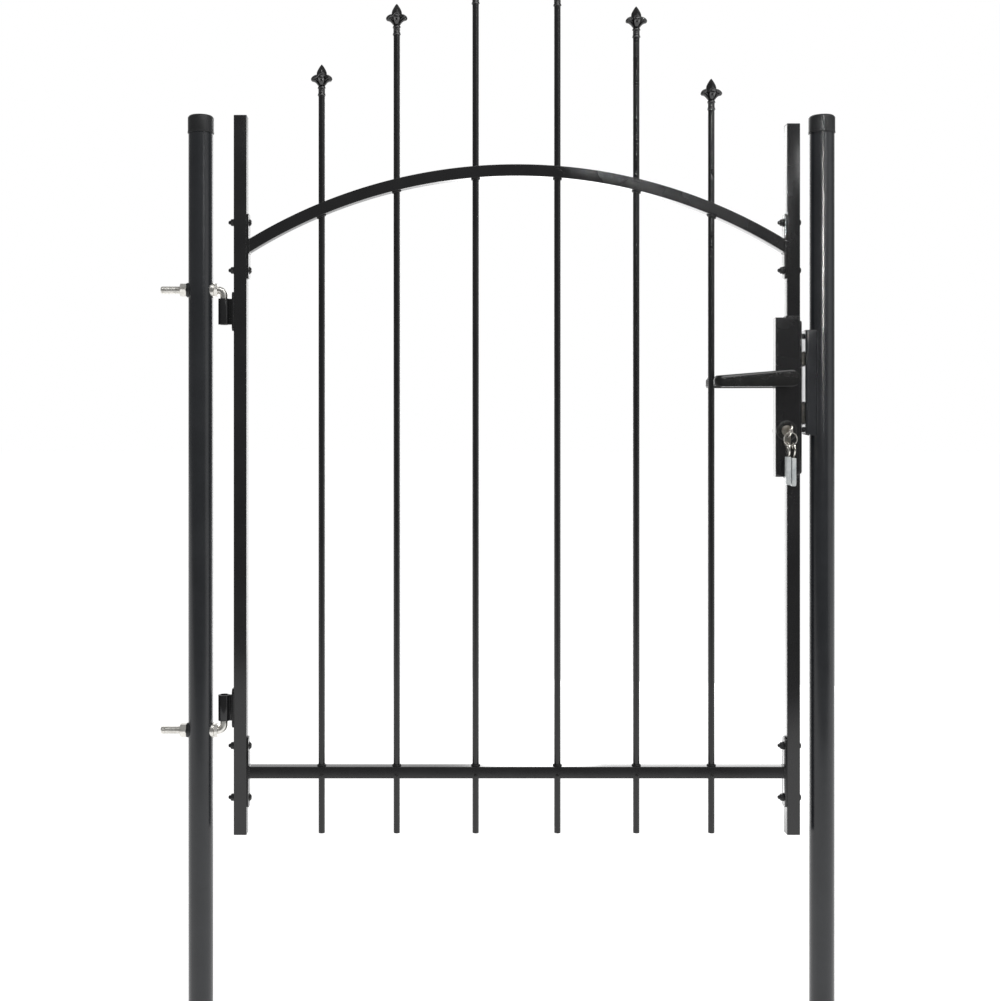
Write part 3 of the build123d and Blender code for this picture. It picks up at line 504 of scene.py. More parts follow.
def stacked(outline, levels, along="Z"):
    """A form of one outline at each (inset, height): each point moves inwards, square to its neighbours."""
    span = np.roll(outline, -1, axis=0) - np.roll(outline, 1, axis=0)
    inward = np.column_stack([-span[:, 1], span[:, 0]]) / np.linalg.norm(span, axis=1, keepdims=True)
    inset, height = np.asarray(levels, float).T
    flat = outline[None] + inset[:, None, None] * inward[None]
    grid = np.concatenate([flat, np.broadcast_to(height[:, None, None], (*flat.shape[:2], 1))], axis=-1)
    return capped(facing(grid, along))


def rectangle(width, height, ease, steps=5):
    """A rectangle about the middle, anticlockwise, with rounded corners."""
    half = np.array((width, height)) / 2
    return eased(np.array(((-1, -1), (1, -1), (1, 1), (-1, 1))) * half, ease, steps)


square = rectangle(UPRIGHT_SIDE, UPRIGHT_SIDE, UPRIGHT_CORNER, 7)


def upright(x, foot, top):
    """A square tube's outside: one outline at its foot and its top, with the saw cuts' edges broken."""
    return stacked(square, stations(foot, top, 0.25, 3)) + (x, 0, 0)


def plug(x, end, side):
    """A plug's head: the tube's outline from the cut to its lip, with a domed face, up (1) or down (-1)."""
    levels = [(0.25, 0), (0, 0.12), (0, 0.75), (0.25, 1.15), (0.8, 1.4), (2.2, 1.5)]
    return stacked(square, levels) * (1, 1, side) + (x, 0, end)


# The same powder on the leaf's thinner tubes and bars: its peel is finer and its black a little warmer.
frame_coat = coat("satin_black_powder_coat_on_leaf", ("#1c1c1d", "#222223"), 0.18, 0.04, 0.003, 4.0, 60)

cuts = (
    ("hinge_upright", HINGE_UPRIGHT_X, LEAF_FOOT + PLUG_LIP, HINGE_UPRIGHT_TOP - PLUG_LIP),
    ("latch_upright_top", LATCH_UPRIGHT_X, LOCK_TOP, LATCH_UPRIGHT_TOP - PLUG_LIP),
    ("latch_upright_bottom", LATCH_UPRIGHT_X, LEAF_FOOT + PLUG_LIP, LOCK_FOOT),
)
for name, x, foot, top in cuts:
    fitted(skin(name + "_tube", upright(x, foot, top)), frame_coat, "leaf", "frame_coat", name)
plugs = [
    plug(HINGE_UPRIGHT_X, LEAF_FOOT + PLUG_LIP, -1),
    plug(HINGE_UPRIGHT_X, HINGE_UPRIGHT_TOP - PLUG_LIP, 1),
    plug(LATCH_UPRIGHT_X, LEAF_FOOT + PLUG_LIP, -1),
    plug(LATCH_UPRIGHT_X, LATCH_UPRIGHT_TOP - PLUG_LIP, 1),
]
fitted(skin("upright_end_plugs", *plugs), cap_plastic, "leaf", "black_plastic", "upright_plugs")

# Arch and bottom rail
# Two lengths of 18 mm square tube. The arch is rolled to a radius of 790 mm, and both are welded to a
# bolting plate at each end, with a bead of weld all round the tube.
RAIL_SIDE = 18.0
RAIL_CORNER = 1.0
RAIL_START = 75.2
RAIL_END = 902.8
RAIL_MIDDLE = 487.0
ARCH_MIDDLE = np.array((489.0, 627.0))
ARCH_RADIUS = 790.0
ARCH_END = 1299.956
WELD_RIPPLE = 3.0
rail_outline = rectangle(RAIL_SIDE, RAIL_SIDE, RAIL_CORNER, 6)


def carried(outline, path, side, up):
    """An outline carried along a path: at each of its points it spreads along that point's side and up."""
    return path[:, None] + outline[None, :, :1] * side[:, None] + outline[None, :, 1:] * up[:, None]


def arch(outline, steps=120):
    """The outline carried round the arch's circle. Each end row slides along the tube to its end plate."""
    lean = np.arcsin(np.linspace(RAIL_START - ARCH_MIDDLE[0], RAIL_END - ARCH_MIDDLE[0], steps) / ARCH_RADIUS)
    path = np.stack([np.sin(lean), 0 * lean, np.cos(lean)], axis=-1)
    up = path.copy()
    side = np.broadcast_to(np.array((0.0, 1.0, 0.0)), path.shape)
    grid = carried(outline, path * ARCH_RADIUS, side, up) + (ARCH_MIDDLE[0], 0, ARCH_MIDDLE[1])
    for row, face in ((0, RAIL_START), (-1, RAIL_END)):
        slope = lean[row]
        slide = face - grid[row][:, 0]
        grid[row] += slide[:, None] * np.array((1.0, 0.0, -np.tan(slope)))
    return grid


arch_tube = skin("arch_rail_tube", capped(arch(rail_outline)))
fitted(arch_tube, frame_coat, "leaf", "frame_coat", "arch_rail")
rail = stacked(rail_outline, [(0, RAIL_START), (0, RAIL_END)], "X") + (0, 0, RAIL_MIDDLE)
fitted(skin("bottom_rail_tube", rail), frame_coat, "leaf", "frame_coat", "bottom_rail")


def bead(path, radius, closed=True):
    """A weld bead: a round section carried along a path, its radius in waves as long as the ripple."""
    path = np.concatenate([path, path[:1]]) if closed else path
    travel = np.concatenate([[0], np.cumsum(np.linalg.norm(np.diff(path, axis=0), axis=1))])
    waves = max(round(travel[-1] / WELD_RIPPLE), 2)
    share = np.linspace(0, 1, 6 * waves + 1)
    line = np.stack([np.interp(share * travel[-1], travel, path[:, axis]) for axis in range(3)], axis=-1)
    around = np.concatenate([line[-2:-1], line, line[1:2]]) if closed else line
    tangent = np.gradient(around, axis=0)[1:-1] if closed else np.gradient(line, axis=0)
    tangent /= np.linalg.norm(tangent, axis=1, keepdims=True)
    side = np.cross(tangent, np.eye(3)[np.argmin(np.abs(tangent).max(axis=0))])
    side /= np.linalg.norm(side, axis=1, keepdims=True)
    up = np.cross(side, tangent)
    angle = ring_angles(10)
    swell = radius * (0.93 + 0.14 * np.abs(np.sin(np.pi * share * waves)))
    spoke = np.cos(angle)[None, :, None] * side[:, None] + np.sin(angle)[None, :, None] * up[:, None]
    grid = line[:, None] + swell[:, None, None] * spoke
    return grid if closed else capped(grid)


def weld_outline(side):
    """A square tube's outline just inside its surface, with corners wide enough for a bead to go round."""
    return rectangle(side - 0.4, side - 0.4, 2.0, 5)


def rail_weld(face, inward, height, slope):
    """The line where a rail of that slope meets its end plate, pushed out of the tube's own surface."""
    outline = weld_outline(RAIL_SIDE)
    tall = outline[:, 1] / np.cos(slope)
    return np.column_stack([np.full(len(outline), face + inward * 0.5), outline[:, 0], height + tall])


arch_lean = np.arcsin((ARCH_MIDDLE[0] - RAIL_START) / ARCH_RADIUS)
welds = [
    bead(rail_weld(face, inward, height, slope), 1.2)
    for height, slope in ((ARCH_END, arch_lean), (RAIL_MIDDLE, 0.0))
    for face, inward in ((RAIL_START, 1), (RAIL_END, -1))
]
fitted(skin("rail_weld_beads", *welds, sharp=60), frame_coat, "leaf", "frame_coat")

# Rail end plates
# Flat steel plates of 3 mm with their corners cut off, welded to the rails' ends and bolted through the
# uprights with two bolts each.
PLATE_THICKNESS = 3.0
PLATE_CORNER = 4.0
ARCH_PLATE_TALL = 100.0
RAIL_PLATE_TALL = 108.0


def cut_plate(start, height, tall):
    """A plate across X: a rectangle with its four corners cut off, stacked through its thickness."""
    y, z = UPRIGHT_SIDE / 2, tall / 2
    near, low = y - PLATE_CORNER, z - PLATE_CORNER
    right = np.array([(near, -z), (y, -low), (y, low), (near, z)])
    outline = eased(np.vstack([right, -right]), 0.6, 3)
    return stacked(outline, stations(0, PLATE_THICKNESS, 0.4, 3), "X") + (start, 0, height)


plates = [
    cut_plate(start, height, tall)
    for height, tall in ((ARCH_END, ARCH_PLATE_TALL), (RAIL_MIDDLE, RAIL_PLATE_TALL))
    for start in (RAIL_START - PLATE_THICKNESS, RAIL_END)
]
fitted(skin("rail_end_plates", *plates), frame_coat, "leaf", "frame_coat", "end_plates")

# Bolts and cap nuts
# M6 bolts with low domed heads and a thin rim, through the plate and the upright, each held by a flanged
# hexagon nut with a closed, pointed plastic end.
BOLT_RADIUS = 3.0
RAIL_BOLTS = 40
ARCH_BOLTS = 37
BOLT_HEIGHTS = [
    middle + side * reach
    for middle, reach in ((RAIL_MIDDLE, RAIL_BOLTS), (ARCH_END, ARCH_BOLTS))
    for side in (-1, 1)
]
NUT_FLATS = 10.0
LEAF_START = HINGE_UPRIGHT_X - UPRIGHT_SIDE / 2
LEAF_END = LATCH_UPRIGHT_X + UPRIGHT_SIDE / 2
GRIPS = ((LEAF_START, RAIL_START), (RAIL_END, LEAF_END))


def domed_bolt(nut_face, head_face, height):
    """A bolt turned about X: a shank of 6 mm, a rim of 11 mm and a dome that falls to a flat top."""
    arc = np.linspace(0, np.pi / 2, 10)
    dome = np.column_stack([1.6 + 3.5 * np.cos(arc), 0.9 + 2.85 * np.sin(arc)])
    foot = -(abs(head_face - nut_face))
    profile = [(0, foot), (BOLT_RADIUS - 0.4, foot), (BOLT_RADIUS, foot + 0.4), (BOLT_RADIUS, 0)]
    profile += [(5.9, 0), (6.1, 0.15), (6.1, 0.8), (5.8, 1.0), *dome, (0, dome[-1, 1] - 0.1)]
    return turned(profile, "X", sides=40) + (head_face, 0, height)


def pointed_cap_nut(face, height):
    """A flange, a hexagon held in by a cone at its outer end, and a round nub whose radius falls slowly and
    then fast, by the sixth power of the share along it."""
    angle = hexagon_angles(8)
    flat, corner = NUT_FLATS / 2, NUT_FLATS / np.sqrt(3)
    base = [(0, 0), (6.0, 0), (6.3, 0.2), (6.3, 0.9), (6.1, 1.3), (5.7, 1.5)]
    flange = turned(base + [(0, 1.5)], "X", sides=48)
    rise = np.linspace(0, 1, 5)
    chamfer = list(zip(corner - (corner - flat + 0.3) * rise, 4.6 + 0.6 * rise))
    rows = [(0, 1.2), (corner, 1.2), *chamfer, (0, 5.2)]
    body = turned(rows, "X", limit=hexagon(NUT_FLATS, angle), angle=angle)
    fall = np.linspace(0, 1, 12)
    nub = 3.1 - 0.5 * fall - 1.6 * fall**6
    point = list(zip(nub, 6.3 + 3.1 * fall))
    dome = turned([(0, 4.9), (4.6, 4.9), (4.5, 5.4), (3.9, 6.0), *point, (0, 9.45)], "X", sides=40)
    return [part * (-1, 1, 1) + (face, 0, height) for part in (flange, body, dome)]


# Black oxide on steel: thin, darker and smoother than the powder coat, with a faint brown in it.
black_oxide = coat("black_oxide_steel", ("#161617", "#201f1e"), 0.28, 0.12, 0.003, 1.5, 8)
bolts = [domed_bolt(*grip, height) for height in BOLT_HEIGHTS for grip in GRIPS]
fitted(skin("plate_bolts_m6", *bolts, sharp=30), black_oxide, "leaf", "black_fastener", "flange_bolts")
nuts = [part for height in BOLT_HEIGHTS for face, _ in GRIPS for part in pointed_cap_nut(face, height)]
fitted(skin("pointed_cap_nuts", *nuts, sharp=24), cap_plastic, "leaf", "black_plastic", "cap_nuts")

# Bars
# Six round steel bars of 10 mm, cut square at the foot, that pass through both rails. The coat gathers
# in a small fillet where each one leaves the arch.
BAR_RADIUS = 5.0
BAR_FOOT = 392.0
BARS = (
    (187.3, 1532.5),
    (303.5, 1626.5),
    (425.7, 1674.5),
    (552.3, 1671.5),
    (674.5, 1622.5),
    (790.7, 1510.5),
)
# Satin powder on bright round bar. It lies thinner and glossier than on the tubes, so the bars carry
# one narrow line of light each.
bar_coat = coat("satin_black_powder_coat_on_round_bar", ("#161617", "#1d1d1e"), 0.26, 0.05, 0.0025, 5.0, 90)


def bar(x, top):
    """A turned rod with its foot's edge broken."""
    profile = [(0, BAR_FOOT), (BAR_RADIUS - 0.4, BAR_FOOT), (BAR_RADIUS - 0.1, BAR_FOOT + 0.15)]
    profile += [(BAR_RADIUS, BAR_FOOT + 0.5), (BAR_RADIUS, top), (0, top)]
    return turned(profile, sides=40) + (x, 0, 0)


def arch_height(x, radius):
    """The height of the arch's circle of that radius at each x."""
    return ARCH_MIDDLE[1] + np.sqrt(radius**2 - (x - ARCH_MIDDLE[0]) ** 2)


def fillet_ring(x, radius, grow, side):
    """A fillet round a bar on the arch: at each angle it rises from the arch's own height by a quarter
    circle's share as it nears the bar."""
    angle = ring_angles(40)
    t = np.linspace(0, np.pi / 2, 6)
    rise = np.concatenate([[-1.0], grow * (1 - np.cos(t)), [grow]])
    spread = np.concatenate([[BAR_RADIUS - 1], BAR_RADIUS + grow * (1 - np.sin(t)), [BAR_RADIUS - 1]])
    east, north = np.cos(angle), np.sin(angle)
    level = arch_height(x + spread[:, None] * east, radius) + side * rise[:, None]
    return np.stack([x + spread[:, None] * east, spread[:, None] * north, level], axis=-1)


for number, (x, top) in enumerate(BARS, start=1):
    top_fillet = capped(fillet_ring(x, ARCH_RADIUS + RAIL_SIDE / 2, 1.3, 1))
    name = f"bar_{number}"
    fitted(skin(name + "_rod", bar(x, top), top_fillet), bar_coat, "leaf", "frame_coat", name)

# Bar bushings and grub screws
# Black rubber rings that close the holes in the rails: on the bottom rail's top, and under the arch,
# where they are cut to its curve. A small screw in the rail's front holds each bar.
RING_RADIUS = 7.1
SCREW_RECESS = 0.5
RAIL_TOP = RAIL_MIDDLE + RAIL_SIDE / 2


def rail_ring(x):
    """A turned ring with a rounded top edge and a lip that leans on the bar."""
    edge = [(RING_RADIUS, 0), (RING_RADIUS, 1.0), (6.85, 1.7), (6.3, 2.2), (5.7, 2.45)]
    return capped(turned([(4.8, 0), *edge, (4.8, 2.5)], sides=48)) + (x, 0, RAIL_TOP)


def arch_ring(x):
    """The same ring hung under the arch: its upper side takes the arch's height at each of its points."""
    angle = ring_angles(48)
    radius = np.array((4.8, 7.05, 7.05, 6.8, 6.2, 4.8))[:, None]
    drop = np.array((0.1, 0.1, 1.2, 1.9, 2.35, 2.5))[:, None]
    east = x + radius * np.cos(angle)
    level = arch_height(east, ARCH_RADIUS - RAIL_SIDE / 2) - drop
    return capped(np.stack([east, radius * np.sin(angle), level], axis=-1))


def pan_screw(x, face, height, radius, rise):
    """A pan-head screw on a face towards -Y: a domed disc with a sunk star-shaped recess.

    The recess is where the radius of a four-lobed curve is not yet reached."""
    angle = ring_angles(48)
    arc = np.linspace(0, np.pi / 2, 8)
    rings = [(radius, -0.5), *zip(radius * (0.55 + 0.45 * np.cos(arc)), rise * np.sin(arc))]
    outer = turned(rings, "Y", sides=48)
    lobe = radius * (0.30 + 0.12 * np.cos(4 * angle))
    edge = np.stack([lobe * np.cos(angle), lobe * np.sin(angle), 0 * lobe + rise], axis=-1)
    sunk = edge * (0.8, 0.8, 1) - (0, 0, SCREW_RECESS)
    inner = facing(np.stack([edge, sunk]), "Y")
    grid = capped(np.concatenate([outer, inner]))
    return grid * (1, -1, 1) + (x, face, height)


# Black rubber: matt and slightly grey beside the coat, with almost no grain.
rubber = moulded("black_moulded_rubber", ("#151516", "#1d1d1e"), 0.55, 0.008, 1.5)
rings = [rail_ring(x) for x, _ in BARS]
fitted(skin("rail_bar_bushings", *rings), rubber, "leaf", "black_plastic", "rail_bushings")
rings = [arch_ring(x) for x, _ in BARS]
fitted(skin("arch_bar_bushings", *rings), rubber, "leaf", "black_plastic", "arch_bushings")
screws = [pan_screw(x, -RAIL_SIDE / 2, RAIL_MIDDLE - 4.2, 2.9, 1.5) for x, _ in BARS]
fitted(skin("rail_bar_screws", *screws, sharp=40), black_oxide, "leaf", "black_fastener")

# Finials
# Castings pressed on the bars' ends: a socket with a collar near its foot and one near its top, four petals
# that curl over and droop, and a pointed bud with four flanks. They are painted a glossier black.
SOCKET = 5.3
BEADS = (3.0, 13.9)
FINIAL_SIDES = 48


def socket():
    """A turned sleeve: two collars whose sides lean back to the top, and rings cut in the neck between."""
    rows = [(4.0, 0), (SOCKET, 0)]
    for middle in BEADS:
        rows += [(SOCKET, middle - 2.3), (SOCKET + 0.8, middle - 2.0), (SOCKET + 1.05, middle - 1.5)]
        rows += [(SOCKET + 1.0, middle - 1.1), (SOCKET + 0.35, middle + 1.2), (SOCKET, middle + 1.5)]
        if middle == BEADS[0]:
            for groove in (6.6, 8.4, 10.2):
                rows += [(SOCKET, groove - 0.4), (SOCKET - 0.35, groove), (SOCKET, groove + 0.4)]
    rows.append((4.2, 16.5))
    return capped(turned(rows, sides=FINIAL_SIDES))


def bud():
    """A closed bud. Its section goes from a circle at the foot to a rounded diamond, and each flank is
    hollowed a little: the radius follows a smooth curve of the height times a shape of the angle."""
    height = np.array([13.5, 17, 21, 25, 29, 32, 34.5, 36.5, 39, 41.5, 44, 46, 47.6, 48.8, 49.4])
    radius = np.array([3.2, 3.6, 4.1, 5.0, 6.4, 7.5, 8.0, 7.9, 7.2, 6.0, 4.6, 3.3, 2.2, 1.1, 0.35])
    angle = ring_angles(64)
    diamond = 1 / (np.abs(np.cos(angle)) ** 1.15 + np.abs(np.sin(angle)) ** 1.15) ** (1 / 1.15)
    share = np.clip((height - 16) / 14, 0, 1)[:, None]
    ring = radius[:, None] * (1 - share + share * diamond)
    crease = 0.12 * share * np.cos(2 * angle) ** 8
    ring = ring - crease * (ring > 1)
    grid = np.stack([ring * np.cos(angle), ring * np.sin(angle), height[:, None] + 0 * ring], axis=-1)
    return capped(grid, np.array((0.0, 0.0, np.nan)))


def petal(turn):
    """One petal, turned round the bar by a number of quarters.

    Two smooth side curves, its back and its belly, run from the root to the tip. At each place along them
    a lens-shaped section spans from one to the other. One groove along each side parts the curl from
    the lobe under it, a second follows its back, and a low rib runs down the back."""
    knots = np.array((0, 0.2, 0.4, 0.6, 0.78, 0.9, 0.97, 1.0))
    back = [(2.0, 31.0), (4.6, 33.0), (7.6, 33.7), (10.6, 33.2)]
    back += [(13.6, 31.7), (15.7, 29.6), (16.6, 27.6), (16.7, 26.3)]
    belly = [(3.5, 15.2), (5.9, 16.2), (8.0, 19.2), (10.6, 21.5)]
    belly += [(13.2, 22.4), (15.2, 23.0), (16.4, 24.6), (16.65, 25.8)]
    t = 1 - (1 - np.linspace(0, 1, 37)) ** 1.5
    curves = np.stack([np.interp(t, knots, values) for values in (*np.array(back).T, *np.array(belly).T)])
    for _ in range(2):
        curves[:, 1:-1] = (curves[:, :-2] + 2 * curves[:, 1:-1] + curves[:, 2:]) / 4
    top, foot = curves[:2].T, curves[2:].T
    width = np.interp(t, knots, (2.6, 3.9, 5.0, 5.4, 5.1, 4.0, 2.5, 1.2))[:, None]
    phi = ring_angles(64)
    rise = np.sign(np.sin(phi)) * np.abs(np.sin(phi)) ** 0.85
    swell = np.sin(np.pi * np.clip(t * 1.05, 0, 1))[:, None]
    groove = 0.34 * swell * np.exp(-(((rise + 0.25) / 0.16) ** 2))
    groove += 0.26 * swell * np.exp(-(((rise - 0.55) / 0.13) ** 2))
    wide = width * np.cos(phi) * (1 - groove)
    rib = 0.12 * swell * np.exp(-((np.cos(phi) / 0.22) ** 2)) * (rise > 0)
    middle, half = (top + foot) / 2, (top - foot) / 2
    spot = middle[:, None] + half[:, None] * ((rise * (0.94 + rib))[..., None])
    grid = capped(np.stack([spot[..., 0], wide, spot[..., 1]], axis=-1))
    c, s = np.cos(turn * np.pi / 2), np.sin(turn * np.pi / 2)
    east, north = c * grid[..., 0] - s * grid[..., 1], s * grid[..., 0] + c * grid[..., 1]
    return np.stack([east, north, grid[..., 2]], axis=-1)


# Gloss black enamel on a casting: a deeper black, with the casting's own soft lumps of 3 mm under the
# paint, which break up its highlights.
casting_paint = coat(
    "gloss_black_enamel_on_casting", ("#0a0a0b", "#131314"), 0.17, 0.08, 0.02, 3.0, 9, ior=1.75
)
finial = [socket(), bud(), *(petal(turn) for turn in range(4))]
for number, (x, top) in enumerate(BARS, start=1):
    name = f"spear_{number}"
    cast = skin(name + "_casting", *(part + (x, 0, top) for part in finial), sharp=45)
    fitted(cast, casting_paint, "leaf", "casting_coat", name)

# Hinge eyes and plates
# Each eye is a short barrel of steel tube on a web, welded to a plate with cut corners, which is welded
# to the hinge upright. The pin turns in the barrel with a little play.
EYE_RADIUS = 9.0
EYE_BORE = 6.3
EYE_HALF = 20.0
EYES = (1198.956, 586.0)
HINGE_PLATE_TALL = 60.0


def hinge_eye(height):
    """A turned tube with its edges broken, and a flat web beside it."""
    levels = stations(height - EYE_HALF, height + EYE_HALF, 0.4, 3) * (-1, 1) + (EYE_RADIUS, 0)
    bore = [(EYE_BORE + 0.4, height + EYE_HALF), (EYE_BORE, height + EYE_HALF - 0.4)]
    bore += [(EYE_BORE, height - EYE_HALF + 0.4), (EYE_BORE + 0.4, height - EYE_HALF)]
    barrel = looped(turned([*levels, *bore], sides=64)) + (PIN_X, 0, 0)
    start, end = PIN_X + EYE_RADIUS - 0.8, LEAF_START - PLATE_THICKNESS
    web = stacked(rectangle(6, 2 * EYE_HALF, 0.5, 3), [(0, start), (0, end)], "X") + (0, 0, height)
    return barrel, web


def seam(height, x, y):
    """The two ends of a weld up an eye's web."""
    return np.array([(x, y, height - EYE_HALF + 1), (x, y, height + EYE_HALF - 1)])


eye_welds = []
for name, height in zip(("upper_hinge_eye", "lower_hinge_eye"), EYES):
    fitted(skin(name + "_barrel", *hinge_eye(height)), frame_coat, "leaf", "frame_coat", name)
    eye_welds += [bead(seam(height, LEAF_START - 3.4, y), 1.6, closed=False) for y in (-3.6, 3.6)]
    eye_welds += [bead(seam(height, PIN_X + 8.6, y), 1.2, closed=False) for y in (-3.2, 3.2)]
    for y in (-10.0, 10.0):
        edge = np.array([(LEAF_START - 0.2, y, height - 24), (LEAF_START - 0.2, y, height + 24)])
        eye_welds.append(bead(edge, 1.1, closed=False))
plates = [cut_plate(LEAF_START - PLATE_THICKNESS, height, HINGE_PLATE_TALL) for height in EYES]
fitted(skin("hinge_weld_plates", *plates), frame_coat, "leaf", "frame_coat", "hinge_plates")
fitted(skin("hinge_weld_beads", *eye_welds, sharp=60), frame_coat, "leaf", "frame_coat")

# Lock case and faceplate
# A case folded from 1.5 mm steel sheet and welded into the cut in the latch upright, closed by a 2.5 mm
# faceplate that two countersunk screws hold. Both have windows for the latch and the deadbolt.
CASE_LEFT = 888.3
CASE_RIGHT = LEAF_END
CASE_HALF_DEPTH = 11.0
CASE_WALL = 1.5
LOCK_X = 904.5
SPINDLE_HEIGHT = 1094.956
CYLINDER_HEIGHT = 1014.456
LATCH_MIDDLE, LATCH_TALL = 1125.956, 20.0
DEAD_MIDDLE, DEAD_TALL = 1041.956, 32.0
BOLT_HALF = 6.0
BOLT_PLAY = 0.3
WINDOW_HALF = BOLT_HALF + BOLT_PLAY
FACE_RIGHT = 928.3
WINDOWS = [
    (middle - tall / 2 - BOLT_PLAY, middle + tall / 2 + BOLT_PLAY)
    for middle, tall in ((LATCH_MIDDLE, LATCH_TALL), (DEAD_MIDDLE, DEAD_TALL))
]


def case_shell(name):
    """The case's outside as one sheet, from the rim of the front's round hole to the rim of the back's.

    Its columns are rays from the spindle. Each ray meets a circle at the hole and the case's rectangle at
    the edge, and the rows go out over the front, round the edge in a quarter circle, along the side and
    back over the rear. The cells at the bolts' windows are left out."""
    hole, ease = 8.3, 1.8
    left, right = CASE_LEFT - LOCK_X, CASE_RIGHT - LOCK_X
    foot, top = LOCK_FOOT - SPINDLE_HEIGHT, LOCK_TOP - SPINDLE_HEIGHT
    marks = [z - SPINDLE_HEIGHT for window in WINDOWS for z in window]
    side = np.concatenate([[foot, *marks, top], np.linspace(foot, top, 16)[1:-1]])
    rays = [np.arctan2(z, right) for z in side] + [np.arctan2(z, left) for z in np.linspace(foot, top, 16)]
    rays += [np.arctan2(foot, x) for x in np.linspace(left, right, 5)[1:-1]]
    rays += [np.arctan2(top, x) for x in np.linspace(left, right, 5)[1:-1]]
    rays += list(np.linspace(-np.pi, np.pi, 40, endpoint=False))
    rays = np.unique(np.round(rays, 7))[::-1]
    c, s = np.cos(rays), np.sin(rays)

    def rim(inset):
        """How far each ray runs to the rectangle inset on all sides."""
        across = np.where(c > 0, right - inset, left + inset) / np.where(np.abs(c) < 1e-9, 1e-9, c)
        along = np.where(s > 0, top - inset, foot + inset) / np.where(np.abs(s) < 1e-9, 1e-9, s)
        return np.minimum(np.abs(across), np.abs(along))

    turn = np.linspace(0, np.pi / 2, 5)
    insets, depths = ease * (1 - np.sin(turn)), -CASE_HALF_DEPTH + ease * (1 - np.cos(turn))
    reach = [np.full(len(rays), hole), np.full(len(rays), hole + 1.5), rim(6.0)] + [rim(i) for i in insets]
    deep = [-CASE_HALF_DEPTH] * 3 + list(depths)
    reach += [rim(0), rim(0)] + reach[::-1]
    deep += [-WINDOW_HALF, WINDOW_HALF] + [-d for d in deep[::-1]]
    reach, deep = np.array(reach), np.array(deep)[:, None] + 0 * c
    reach[2] = np.maximum(reach[2], hole + 1.6)
    reach[-3] = np.maximum(reach[-3], hole + 1.6)
    grid = np.stack([LOCK_X + reach * c, deep, SPINDLE_HEIGHT + reach * s], axis=-1)
    row = len(insets) + 3
    middle = (grid[row] + np.roll(grid[row], -1, axis=0)) / 2
    inside = (middle[:, 0] > CASE_RIGHT - 0.01) & np.any(
        [(middle[:, 2] > low) & (middle[:, 2] < high) for low, high in WINDOWS], axis=0
    )
    drop = np.zeros((grid.shape[0] - 1, grid.shape[1]), bool)
    drop[row] = inside
    return skin(name, grid, drop=drop, sharp=40)


def thickened(piece, wall, edge=0.0):
    """Gives an open sheet its wall inwards, and breaks the wall's sharp edges."""
    solid = piece.modifiers.new("wall", "SOLIDIFY")
    solid.thickness, solid.offset = wall / 1000, -1.0
    solid.use_even_offset = True
    if edge:
        soft = piece.modifiers.new("edges", "BEVEL")
        soft.width, soft.segments = edge / 1000, 2
        soft.limit_method, soft.angle_limit = "ANGLE", radians(50)
    return piece


def pierced(name, across, heights, windows, place, sharp=35):
    """A sheet of straight lines across and up, with the cells inside the windows left out.

    place turns the two coordinates of every crossing into a point."""
    u, v = np.meshgrid(np.array(sorted(across)), np.array(sorted(heights)))
    middle_u = (u[1:, 1:] + u[:-1, :-1]) / 2
    middle_v = (v[1:, 1:] + v[:-1, :-1]) / 2
    drop = np.zeros(middle_u.shape, bool)
    for left, right, low, high in windows:
        drop |= (middle_u > left) & (middle_u < right) & (middle_v > low) & (middle_v < high)
    return skin(name, place(u, v), wrap=False, drop=drop, sharp=sharp)


case = thickened(case_shell("lock_case_shell"), CASE_WALL)
fitted(case, frame_coat, "leaf", "frame_coat", "lock_case")


def faceplate_place(y, z):
    """The faceplate's outer face at each (y, z), with the crossings at its corners drawn in to cut them."""
    low, high = LOCK_FOOT + 5, LOCK_TOP - 5
    corner = (np.abs(y) > 9.9) & ((z < low + 0.1) | (z > high - 0.1))
    y = np.where(corner, np.sign(y) * 8.5, y)
    z = np.where(corner, np.where(z < low + 1, low + 1.5, high - 1.5), z)
    return np.stack([np.full(y.shape, FACE_RIGHT), y, z], axis=-1)


plate_low, plate_high = LOCK_FOOT + 5, LOCK_TOP - 5
plate_rows = [plate_low, plate_low + 3, plate_high - 3, plate_high] + [z for pair in WINDOWS for z in pair]
faceplate = pierced(
    "lock_faceplate_plate",
    (-10, -7, -WINDOW_HALF, WINDOW_HALF, 7, 10),
    plate_rows,
    [(-WINDOW_HALF, WINDOW_HALF, *pair) for pair in WINDOWS],
    faceplate_place,
)
fitted(thickened(faceplate, 2.5, 0.35), frame_coat, "leaf", "frame_coat", "lock_faceplate")


def case_weld(height):
    """The line round the latch upright where the case meets it."""
    line = weld_outline(UPRIGHT_SIDE)
    line = line[line[:, 0] < 9.0]
    order = np.argsort(np.mod(np.arctan2(line[:, 1], line[:, 0]), 2 * np.pi))
    line = line[order]
    return np.column_stack([line[:, 0] + LATCH_UPRIGHT_X, line[:, 1], np.full(len(line), height)])


welds = [
    bead(case_weld(height), radius, closed=False)
    for height, radius in ((LOCK_TOP + 1.0, 1.8), (LOCK_FOOT - 0.8, 1.6))
]
fitted(skin("lock_weld_beads", *welds, sharp=60), frame_coat, "leaf", "frame_coat")


def side_screw(face, side, height, radius, rise):
    """The same pan head turned to face +X (side 1) or -X (side -1), at the middle of the gate's depth."""
    head = pan_screw(0, 0, 0, radius, rise)
    return np.stack([face - side * head[..., 1], side * head[..., 0], head[..., 2] + height], axis=-1)


screws = [side_screw(FACE_RIGHT, 1, z, 3.4, 0.7) for z in (plate_low + 9, plate_high - 9)]
fitted(skin("faceplate_screws", *screws, sharp=40), zinc, "leaf", "zinc_plate")

